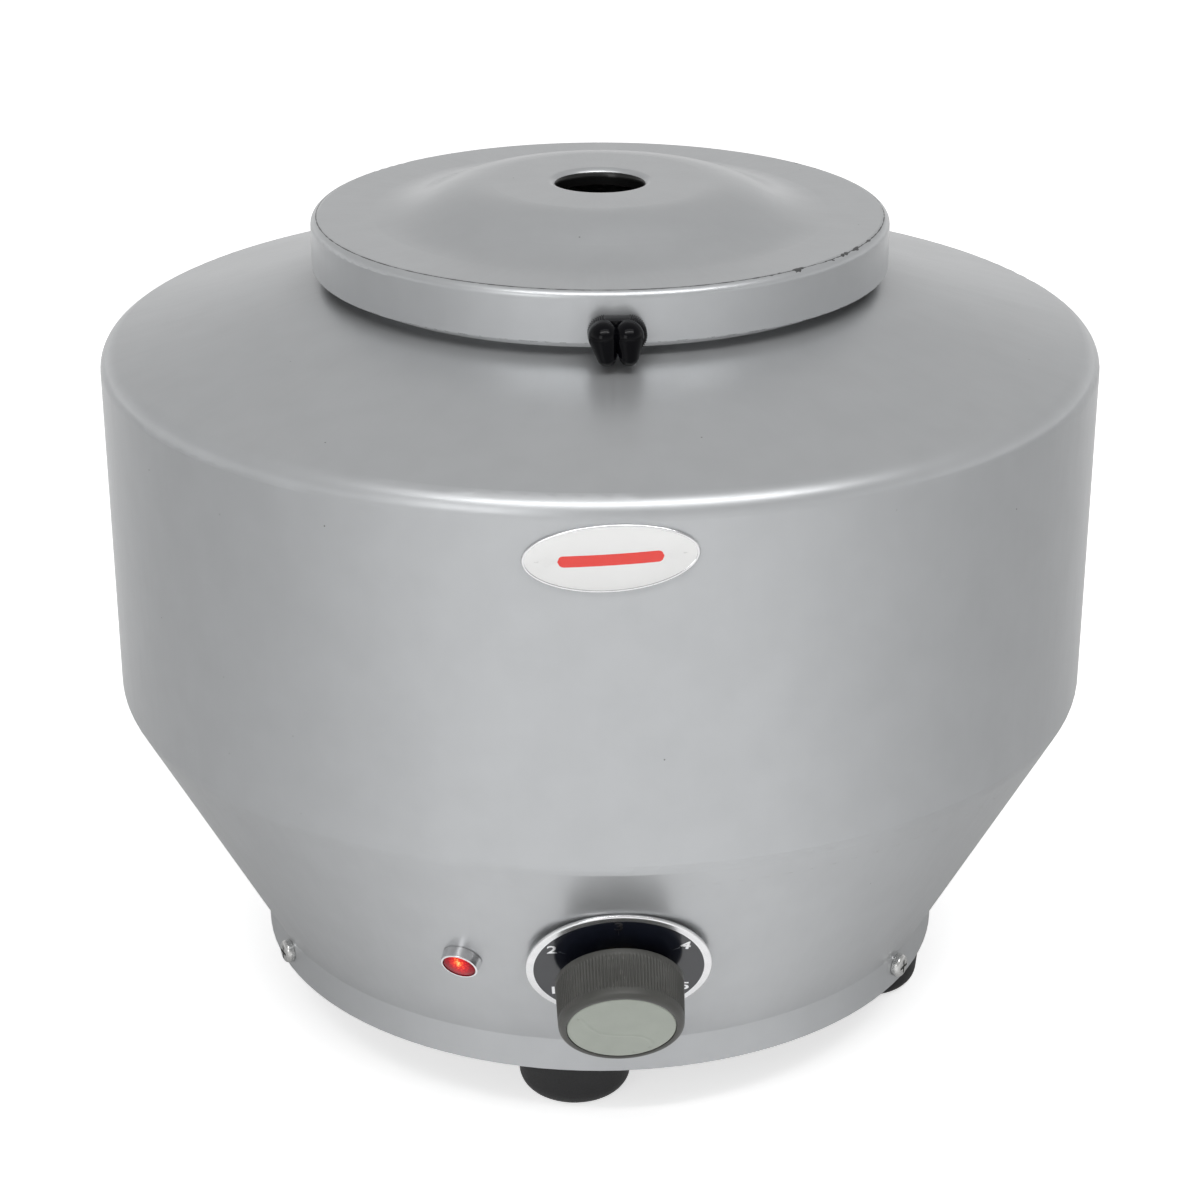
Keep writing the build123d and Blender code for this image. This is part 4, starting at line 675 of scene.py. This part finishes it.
lamp_plastic = finish("lamp_plastic", screen_colour(225, 220, 205), rough=0.4, grain_mm=0.4)
dress(lamp_plastic, "lamp_body")
block_plastic = finish("block_plastic", screen_colour(222, 220, 210), rough=0.45, grain_mm=0.4)
dress(block_plastic, "terminal_block")
fan_plastic = finish("fan_plastic", (0.03, 0.03, 0.032, 1), rough=0.45, grain_mm=0.4, dusty=0.3)
dress(fan_plastic, "cooling_fan")
ceramic = finish("ceramic", screen_colour(222, 212, 190), rough=0.6, grain_mm=0.8, bump_mm=0.01)
dress(ceramic, "regulator_core")
carbon = finish("carbon", (0.02, 0.02, 0.022, 1), rough=0.5, metallic=0.2, grain_mm=0.3)
dress(carbon, "carbon_brushes")
lead_sleeve = finish("lead_sleeve", screen_colour(150, 30, 24), rough=0.35, grain_mm=0.5)
dress(lead_sleeve, "wiring")
print("materials:", len(bpy.data.materials))

# %% [markdown]
# ## Building the panel's pieces
# The pieces of the panel are modelled flat, in millimetres, with z straight out of the sheet, and a
# matrix carries each one to its seat. The cone leans back under the casing, so the dial's frame
# leans with it. Most pieces are turned: a profile goes round z, and a function may cut into it.

# %% Frames and shapes
CONE_LEAN = math.radians(28.168)
SHARP_EDGE = math.radians(35)


def middle_of(node):
    """The middle of a piece of the frame, in metres."""
    low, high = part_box(node)
    return (low + high) / 2


def sheet_frame(place, lean=0.0, azimuth=0.0):
    """x to the right, y up the sheet and z out of it."""
    turn = Matrix.Rotation(azimuth, 4, "Z") @ Matrix.Rotation(math.pi / 2 + lean, 4, "X")
    return Matrix.Translation(place) @ turn


def arc(across, up, radius, start, end, steps=6):
    """Points of an arc round (across, up), its angles in degrees."""
    angles = [math.radians(start + (end - start) * step / steps) for step in range(steps + 1)]
    return [(across + radius * math.cos(a), up + radius * math.sin(a)) for a in angles]


def bridge(shape, rings):
    """Faces between one ring of points and the next. A ring of one point closes an end."""
    steps = max(len(ring) for ring in rings)
    for first, second in zip(rings, rings[1:]):
        for step in range(steps):
            after = step + 1
            corners = [
                first[step % len(first)], first[after % len(first)],
                second[after % len(second)], second[step % len(second)],
            ]
            shape.faces.new(dict.fromkeys(corners))
    bmesh.ops.remove_doubles(shape, verts=shape.verts, dist=1e-4)
    return shape


def spin(outline, steps, cut=None):
    """Turns (radius, height) points round z. cut(height, angle) is taken off a radius."""
    shape = bmesh.new()
    rings = []
    for radius, height in outline:
        ring = []
        for step in range(steps if radius else 1):
            angle = math.tau * step / steps
            reach = radius - cut(height, angle) if cut and radius else radius
            ring.append(shape.verts.new((reach * math.cos(angle), reach * math.sin(angle), height)))
        rings.append(ring)
    return bridge(shape, rings)


def add_piece(name, shape, matrix, body, material, slot, *replaced):
    """Makes a shape in millimetres a piece of the scene that moves with a body."""
    mesh = bpy.data.meshes.new(name)
    bmesh.ops.recalc_face_normals(shape, faces=shape.faces)
    shape.to_mesh(mesh)
    shape.free()
    mesh.transform(Matrix.Scale(MM, 4))
    mesh.shade_smooth()
    mesh.set_sharp_from_angle(angle=SHARP_EDGE)
    mesh.materials.append(material)
    return seat_piece(bpy.data.objects.new(name, mesh), matrix, body, slot, *replaced)


def seat_piece(piece, matrix, body, slot, *replaced):
    """Puts a piece in its place, on its body, for the nodes of the frame that it replaces."""
    bpy.context.scene.collection.objects.link(piece)
    piece.matrix_world = matrix
    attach(piece, body)
    if replaced:
        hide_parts(*replaced)
    return piece


dial_frame = sheet_frame(middle_of("dial_plate"), CONE_LEAN)
print("the dial faces", [round(v, 2) for v in dial_frame.col[2][:3]])

# %% [markdown]
# ## Dial
# The dial is one disc of bright aluminium. A dark print covers its middle and leaves a bare rim,
# the numbers and their ticks, so all of these mirror the knob where it stands over them. The rim
# rolls over at its edge, which draws the bright line round the dial.

# %% Dial plate and print
DIAL_R = 29.0
DIAL_HOLE_R = 5.4
DIAL_HALF = 0.6
DIAL_ROLL = 0.7
PRINT_R = 26.5
PRINT_HOLE_R = 8.4
PRINT_SHEET = 0.05

dial_metal = finish(
    "dial_metal", (0.74, 0.74, 0.75, 1), rough=0.22, metallic=1.0, grain_mm=0.2, ripple_mm=4,
    bump_mm=0.0008, rough_swing=0.05, tone_swing=0.03, dirt=0.25, dirt_mm=3, dirt_dot_mm=0.1,
)
print_black = finish(
    "print_black", (0.010, 0.012, 0.020, 1), rough=0.16, coat=0.15, coat_rough=0.08,
    grain_mm=0.3, ripple_mm=5, bump_mm=0.0008, rough_swing=0.04, tone_swing=0.1,
    dirt=0.3, dirt_mm=3.5, dirt_dot_mm=0.08,
)
print_top = DIAL_HALF + PRINT_SHEET
rim = [(DIAL_HOLE_R, -DIAL_HALF), (DIAL_R - 0.2, -DIAL_HALF), (DIAL_R, -DIAL_HALF + 0.2)]
rim += arc(DIAL_R - DIAL_ROLL, DIAL_HALF - DIAL_ROLL, DIAL_ROLL, 0, 90)
rim += [(DIAL_HOLE_R, DIAL_HALF), (DIAL_HOLE_R, -DIAL_HALF)]
add_piece(
    "dial_disc", spin(rim, 128), dial_frame, "casing", dial_metal, "dial_print", "dial_plate"
)
patch = [(PRINT_HOLE_R, DIAL_HALF), (PRINT_R, DIAL_HALF)]
patch += [(PRINT_R, print_top), (PRINT_HOLE_R, print_top)]
add_piece(
    "dial_print", spin(patch + patch[:1], 128), dial_frame, "casing", print_black, "dial_print"
)
print("dial:", DIAL_R * 2, "mm across")

# %% [markdown]
# ### Numbers and ticks
# The five numbers stand upright round the dial, some leaning a little, each with a tick that widens
# outward. Numbers are text objects, thin enough to lie on the print like bare metal, and a tick is
# a flat box, narrower at its inner end.

# %% Numbers and ticks
NUMBER_R = 23.7
NUMBER_HEIGHT = 4.3
TICK_SPAN = (19.0, 21.6)
TICK_WIDTH = 0.25
TICK_TAPER = 0.6
FIGURE_SHARE = 0.73        # a figure's height as a share of the font's size
NUMBER_STRETCH = 1.12
NUMBER_GAP = 0.02
NUMBERS = {
    # number: angle from the top and its own lean, in degrees
    1: (-121.5, 3), 2: (-61.5, 0), 3: (-1.5, 0), 4: (58.5, -8), 5: (118.5, -2),
}
for number, (angle, lean) in NUMBERS.items():
    out_to = Matrix.Rotation(-math.radians(angle), 4, "Z")
    words = bpy.data.curves.new(f"number_{number}", "FONT")
    words.body = str(number)
    words.size = NUMBER_HEIGHT * MM / FIGURE_SHARE
    words.offset = 0.02 * words.size
    words.extrude = 0.01 * MM
    words.align_x = "CENTER"
    words.align_y = "CENTER"
    words.materials.append(dial_metal)
    place = out_to @ Vector((0, NUMBER_R, 0)) + Vector((0, 0, print_top + NUMBER_GAP))
    turn = Matrix.Rotation(math.radians(lean), 4, "Z") @ Matrix.Diagonal((NUMBER_STRETCH, 1, 1, 1))
    matrix = dial_frame @ Matrix.Translation(place * MM) @ turn
    seat_piece(bpy.data.objects.new(words.name, words), matrix, "casing", "dial_print")

    tick = bmesh.new()
    bmesh.ops.create_cube(tick, size=1)
    middle = sum(TICK_SPAN) / 2
    for corner in tick.verts:
        corner.co.x *= TICK_WIDTH * (1 if corner.co.y > 0 else TICK_TAPER)
        corner.co.y = middle + corner.co.y * (TICK_SPAN[1] - TICK_SPAN[0])
        corner.co.z = print_top + corner.co.z * NUMBER_GAP
    add_piece(f"tick_{number}", tick, dial_frame @ out_to, "casing", dial_metal, "dial_print")
print("numbers:", ", ".join(str(number) for number in NUMBERS))

# %% [markdown]
# ## Knob
# The knob is a turned shell with a plain ring at each end and fine flutes between. The flutes are
# cut by a function of height and angle: a cosine round the knob, faded out at both rings.

# %% Fluted knob
KNOB_START = 5.6
KNOB_LENGTH = 16.5
KNOB_BACK_R = 20.0
KNOB_FRONT_R = 19.3
CAP_DEPTH = 1.4
CAP_R = 16.8
KNOB_EDGE_R = 1.5
KNOB_WALL = 3.0
KNOB_HOLLOW = 12.6
KNOB_HUB_R = 7
KNOB_BORE_R = 3.1
FLUTES = 112
FLUTE_DEPTH = 0.42
FLUTE_SPAN = (2.0, 13.6)
FLUTE_FADE = 0.7


def flute(height, angle):
    """How deep the flutes cut at a place on the knob's side."""
    rise = min(max((height - FLUTE_SPAN[0]) / FLUTE_FADE, 0), 1)
    fall = min(max((FLUTE_SPAN[1] - height) / FLUTE_FADE, 0), 1)
    wave = 0.5 - 0.5 * math.cos(angle * FLUTES)
    return FLUTE_DEPTH * rise * fall * wave ** 1.5


def knob_radius(height):
    """Radius of the knob's plain side."""
    return KNOB_BACK_R + (KNOB_FRONT_R - KNOB_BACK_R) * height / KNOB_LENGTH


floor_z = KNOB_LENGTH - CAP_DEPTH
profile = [(0, floor_z), (CAP_R + 0.1, floor_z), (CAP_R + 0.1, KNOB_LENGTH - 0.1)]
profile += [(CAP_R + 0.25, KNOB_LENGTH)]
profile += arc(KNOB_FRONT_R - KNOB_EDGE_R, KNOB_LENGTH - KNOB_EDGE_R, KNOB_EDGE_R, 90, 5, 8)
low, high = FLUTE_SPAN
heights = [high + 0.05, high - FLUTE_FADE / 2, high - FLUTE_FADE, 8.0]
heights += [low + FLUTE_FADE, low + FLUTE_FADE / 2, low - 0.05, 0.4]
profile += [(knob_radius(height), height) for height in heights]
inner_r = KNOB_FRONT_R - KNOB_WALL
profile += [(knob_radius(0) - 0.4, 0), (inner_r, 0), (inner_r, KNOB_HOLLOW)]
profile += [(KNOB_HUB_R, KNOB_HOLLOW), (KNOB_HUB_R, 0.5), (KNOB_BORE_R, 0.5)]
profile += [(KNOB_BORE_R, floor_z - 1), (0, floor_z - 1)]
knob_frame = dial_frame @ Matrix.Translation((0, 0, KNOB_START * MM))
add_piece(
    "fluted_knob", spin(profile, FLUTES * 5, flute), knob_frame, "speed_knob", knob_plastic,
    "knob_plastic", "knob_body",
)
print("flutes:", FLUTES)

# %% [markdown]
# ## Knob cap
# The cap is a thin disc, hardly domed, with one low wavy ridge across it and three small pits. Its
# top is a fine polar grid, and each point rises by its distance from the ridge's line.

# %% Cap
RIDGE = [
    (-12.4, 5.6), (-9.5, 0.4), (-6.9, -2.4), (-4.3, -3.4), (0, -4.0), (3.4, -4.2),
    (6.3, -5.0), (8.5, -6.8), (9.6, -9.2),
]
RIDGE_WIDTH = 0.5
RIDGE_RISE = 0.16
PITS = [(-13.3, 6.0), (9.1, -11.6), (4.2, -14.4)]
PIT_R = 0.32
PIT_DEPTH = 0.4
FACE_RINGS = 75
RING_STEP = 0.22
RING_RISE = 0.0035


def off_line(point, start, end):
    """Distance from a point to a straight piece of line."""
    along = end - start
    share = max(0, min(1, (point - start).dot(along) / along.length_squared))
    return (point - start - along * share).length


def relief(point):
    """How far the cap's face rises at a point."""
    bends = [Vector(bend) for bend in RIDGE]
    off = min(off_line(point, a, b) for a, b in zip(bends, bends[1:]))
    dips = sum(math.exp(-((point - Vector(pit)).length / PIT_R) ** 2) for pit in PITS)
    return RIDGE_RISE * math.exp(-(off / RIDGE_WIDTH) ** 2) - PIT_DEPTH * dips


top = [
    (CAP_R - 0.35 - RING_STEP * ring, CAP_DEPTH - 0.1 + RING_RISE * ring)
    for ring in range(FACE_RINGS)
]
side = [(0, 0), (CAP_R - 0.1, 0), (CAP_R - 0.1, CAP_DEPTH - 0.3)]
cap = spin(side + top + [(0, top[-1][1])], 240)
for point in cap.verts:
    if point.co.z > CAP_DEPTH - 0.2:
        point.co.z += relief(point.co.xy)
cap_frame = knob_frame @ Matrix.Translation((0, 0, floor_z * MM))
add_piece("cap", cap, cap_frame, "speed_knob", cap_plastic, "cap_plastic", "knob_cap")
print("cap:", CAP_R * 2, "mm across")

# %% [markdown]
# ## Latch grip
# The grip is a knurled block, round at both ends, with two drop-shaped lobes in front. Its outlines
# are hulls of two circles: each point goes to whichever circle reaches further in its direction.
# The lobes close like domes, ring by ring, and the knurl is a wave along the block's outline.

# %% Latch grip
GRIP_ACROSS = 0.9          # the latch sits a little to the right of the middle
GRIP_ENDS = (Vector((-3.4, 0)), Vector((3.8, 0)))
GRIP_R = 5.3
GRIP_DEPTH = 6.0
KNURLS = 46
KNURL_DEPTH = 0.4
GRIP_PROFILE = (
    # how far inside the outline, height, depth of the knurl
    (4.5, 0.3, 0), (0.4, 0.3, 0), (0, 0.6, KNURL_DEPTH), (0, 3.0, KNURL_DEPTH),
    (0, GRIP_DEPTH - 0.5, KNURL_DEPTH), (0.5, GRIP_DEPTH, 0), (4.5, GRIP_DEPTH, 0),
)
LOBE_R = 4.75
LOBE_TIP_R = 3.0
LOBES = {
    # middle of the round end, then the middle of the tip
    "left": (Vector((-3.95, 0.4)), Vector((-3.1, -5.9))),
    "right": (Vector((3.35, 0.4)), Vector((3.6, -5.8))),
}
LOBE_DEPTH = 5.6
LOBE_TIP_DEPTH = 0.62 * LOBE_DEPTH
LOBE_STRAIGHT = 1.2
LOBE_SUNK = 0.6
LOBE_POINTS = 96
LOBE_RINGS = 13


def hull_ring(shape, ends, radii, heights, steps, groove=0.0):
    """One ring round two circles, each with its own radius and height."""
    ring = []
    for step in range(steps):
        angle = math.tau * step / steps
        way = Vector((math.cos(angle), math.sin(angle)))
        nearer = max((0, 1), key=lambda end: ends[end].dot(way) + radii[end])
        cut = groove * (0.5 - 0.5 * math.cos(angle * KNURLS))
        across, up = ends[nearer] + way * (radii[nearer] - cut)
        ring.append(shape.verts.new((across, up, heights[nearer])))
    return ring


def close_rings(shape, rings):
    """Joins rings into a closed shell, with a face over each end."""
    shape.faces.new(rings[0])
    shape.faces.new(rings[-1])
    return bridge(shape, rings)


grip = bmesh.new()
rings = []
for inset, height, groove in GRIP_PROFILE:
    radii = (GRIP_R - inset, GRIP_R - inset)
    rings.append(hull_ring(grip, GRIP_ENDS, radii, (height, height), KNURLS * 6, groove))
close_rings(grip, rings)
seat_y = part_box("latch_knob")[1].y
grip_frame = sheet_frame(Vector((GRIP_ACROSS * MM, seat_y, middle_of("latch_knob").z)))
add_piece("latch_grip", grip, grip_frame, "latch", latch_plastic, "latch_plastic", "latch_knob")

base = GRIP_DEPTH - LOBE_SUNK
rise = base + LOBE_STRAIGHT
for side, ends in LOBES.items():
    lobe = bmesh.new()
    rings = [hull_ring(lobe, ends, (LOBE_R, LOBE_TIP_R), (base, base), LOBE_POINTS)]
    for step in range(LOBE_RINGS):
        angle = math.radians(step * 7.2)
        radii = (LOBE_R * math.cos(angle), LOBE_TIP_R * math.cos(angle))
        heights = (rise + LOBE_DEPTH * math.sin(angle), rise + LOBE_TIP_DEPTH * math.sin(angle))
        rings.append(hull_ring(lobe, ends, radii, heights, LOBE_POINTS))
    close_rings(lobe, rings)
    add_piece(f"latch_lobe_{side}", lobe, grip_frame, "latch", latch_plastic, "latch_plastic")
print("knurls:", KNURLS)

# %% [markdown]
# ## Badge
# The badge is an oval pressing with a white domed face, bent round the wall. It is modelled flat
# and wrapped: what is across becomes an angle, and what is proud becomes a radius. It carries no
# name, only a plain red line.

# %% Badge
WALL_R = 165.0
BADGE_AZIMUTH = math.radians(-1.3)
BADGE_TILT = math.radians(3.5)
BADGE_HALF = (25.5, 10.3)
BADGE_RIM = 0.55
BADGE_RIM_PROUD = 0.5
BADGE_EDGE = 0.75
BADGE_PROUD = 1.45
BADGE_BACK = 0.1
FACE_INSETS = (BADGE_RIM, 0.8, 1.2, 2, 3, 4, 5, 6, 7, 8)
LINE_HALF = (15.0, 1.7)
LINE_PROUD = 0.03
LINE_COLUMNS = 60
LINE_ROWS = 8
badge_z = middle_of("badge_plate").z / MM
at_home = Matrix.Identity(4)


def on_wall(across, up, proud):
    """Where a point of the flat badge lies on the round wall, in millimetres."""
    right = across * math.cos(BADGE_TILT) - up * math.sin(BADGE_TILT)
    rise = across * math.sin(BADGE_TILT) + up * math.cos(BADGE_TILT)
    turn = BADGE_AZIMUTH + right / WALL_R
    reach = WALL_R + proud
    return (math.sin(turn) * reach, -math.cos(turn) * reach, badge_z + rise)


def dome_at(across, up):
    """How proud the badge's face is, from its rim to its middle."""
    share = (across / BADGE_HALF[0]) ** 2 + (up / BADGE_HALF[1]) ** 2
    return BADGE_EDGE + (BADGE_PROUD - BADGE_EDGE) * (1 - min(share, 1) ** 2)


def oval_ring(shape, inset, proud, steps=144):
    """One ring of the badge: an oval inside its edge, at a height or on the dome."""
    ring = []
    for step in range(steps):
        angle = math.tau * step / steps
        normal = Vector((math.cos(angle) / BADGE_HALF[0], math.sin(angle) / BADGE_HALF[1]))
        edge = Vector((BADGE_HALF[0] * math.cos(angle), BADGE_HALF[1] * math.sin(angle)))
        across, up = edge - normal.normalized() * inset
        ring.append(shape.verts.new(on_wall(across, up, proud or dome_at(across, up))))
    return ring


face = bmesh.new()
rings = [[face.verts.new(on_wall(0, 0, BADGE_BACK))], oval_ring(face, BADGE_RIM, BADGE_BACK)]
rings += [oval_ring(face, inset, None) for inset in FACE_INSETS]
rings += [[face.verts.new(on_wall(0, 0, BADGE_PROUD))]]
bridge(face, rings)
add_piece("badge_face", face, at_home, "casing", badge_enamel, "badge_enamel", "badge_plate")

rim = bmesh.new()
section = arc(BADGE_RIM, BADGE_RIM_PROUD, BADGE_RIM, 0, 360, 12)
bridge(rim, [oval_ring(rim, inset, proud) for inset, proud in section])
add_piece("badge_rim", rim, at_home, "casing", chrome, "bezel_chrome")

line = bmesh.new()
columns = []
for step in range(LINE_COLUMNS + 1):
    across = LINE_HALF[0] * (2 * step / LINE_COLUMNS - 1)
    past = max(0, abs(across) - LINE_HALF[0] + LINE_HALF[1])
    half = math.sqrt(max(LINE_HALF[1] ** 2 - past ** 2, 0.01))
    column = []
    for row in range(LINE_ROWS + 1):
        up = half * (2 * row / LINE_ROWS - 1)
        column.append(line.verts.new(on_wall(across, up, dome_at(across, up) + LINE_PROUD)))
    columns.append(column)
for first, second in zip(columns, columns[1:]):
    for low in range(LINE_ROWS):
        line.faces.new((first[low], second[low], second[low + 1], first[low + 1]))
red_print = finish(
    "red_print", screen_colour(236, 50, 38), rough=0.2, coat=0.6, coat_rough=0.05, grain_mm=0.3,
    ripple_mm=4, bump_mm=0.0008, rough_swing=0.03, tone_swing=0.02,
)
add_piece("badge_line", line, at_home, "casing", red_print, "badge_enamel")
print("badge at height", round(badge_z, 1), "mm")

# %% [markdown]
# ## Pilot lamp
# The lamp is lit. Behind its red lens one hot filament shows near the top: pale yellow in its
# middle, orange round it, red further out and maroon at the foot. The glow is painted by distance
# from the filament, with a few sparkles where the lens's facets catch it.

# %% Lamp lens
LAMP_AZIMUTH = math.radians(-20.3)
LENS_R = 5.4
LENS_HALF = 1.27
HOT_SPOT = (0.3, 2.5)
HOT_STRETCH = 0.62         # the glow reaches further up and down than across
HEAT_SPAN = (0.5, 6.4)
FACETS_PER_MM = 1.3
FACET_DEPTH = 0.1
FACET_SHIVER = 2.2
GLOW = (
    # share of the way out from the filament, colour
    (0.12, (1.0, 0.66, 0.20, 1)), (0.24, (0.95, 0.17, 0.03, 1)), (0.36, (0.78, 0.02, 0.015, 1)),
    (0.58, (0.42, 0.002, 0.01, 1)), (0.8, (0.17, 0.0, 0.008, 1)),
)

lamp_glow = bpy.data.materials.new("lamp_glow")
lamp_glow.use_nodes = True
tree = lamp_glow.node_tree
shader = tree.nodes["Principled BSDF"]
shader.inputs["Coat Weight"].default_value = 0.08
shader.inputs["Coat Roughness"].default_value = 0.04
shader.inputs["Specular IOR Level"].default_value = 0.1
shader.inputs["Emission Strength"].default_value = 1.0
spot = place_of(tree)
from_hot = add_node(
    tree, "ShaderNodeVectorMath", {0: spot, 1: (-HOT_SPOT[0] * MM, -HOT_SPOT[1] * MM, 0)},
    operation="ADD",
)
spread = add_node(
    tree, "ShaderNodeVectorMath", {0: from_hot.outputs[0], 1: (1 / MM, HOT_STRETCH / MM, 0)},
    operation="MULTIPLY",
)
far = add_node(tree, "ShaderNodeVectorMath", {0: spread.outputs[0]}, operation="LENGTH")
facets = add_node(tree, "ShaderNodeTexVoronoi", {"Vector": spot, "Scale": FACETS_PER_MM / MM})
shiver = math_node(tree, "MULTIPLY", facets.outputs["Distance"], FACET_SHIVER)
heat = ramp_value(tree, math_node(tree, "ADD", far.outputs["Value"], shiver), *HEAT_SPAN)
glow = add_node(tree, "ShaderNodeValToRGB", {0: heat})
glow.color_ramp.elements[0].color = (1.0, 0.90, 0.42, 1)
glow.color_ramp.elements[1].color = (0.05, 0.0, 0.004, 1)
for place, colour in GLOW:
    glow.color_ramp.elements.new(place).color = colour
height = add_node(tree, "ShaderNodeBump", {
    "Height": facets.outputs["Distance"], "Strength": 0.15, "Distance": FACET_DEPTH * MM,
})
shader.inputs["Base Color"].default_value = (0.16, 0.0, 0.002, 1)
roughness = ramp_value(tree, facets.outputs["Distance"], 0, 1, 0.08, 0.16)
tree.links.new(roughness, shader.inputs["Roughness"])
tree.links.new(glow.outputs["Color"], shader.inputs["Emission Color"])
tree.links.new(height.outputs[0], shader.inputs["Normal"])

lens = [(0, -LENS_HALF), (LENS_R - 0.1, -LENS_HALF), (LENS_R - 0.1, 0.35)]
lens += [(LENS_R - 0.25, 0.62), (4.6, 0.85), (3.6, 1.0), (2.4, 1.12), (1.2, 1.2), (0, LENS_HALF)]
lamp_frame = sheet_frame(middle_of("lamp_lens"), CONE_LEAN, LAMP_AZIMUTH)
add_piece("lens", spin(lens, 96), lamp_frame, "casing", lamp_glow, "lens_red", "lamp_lens")
print("lamp at", [round(v / MM, 1) for v in lamp_frame.translation])
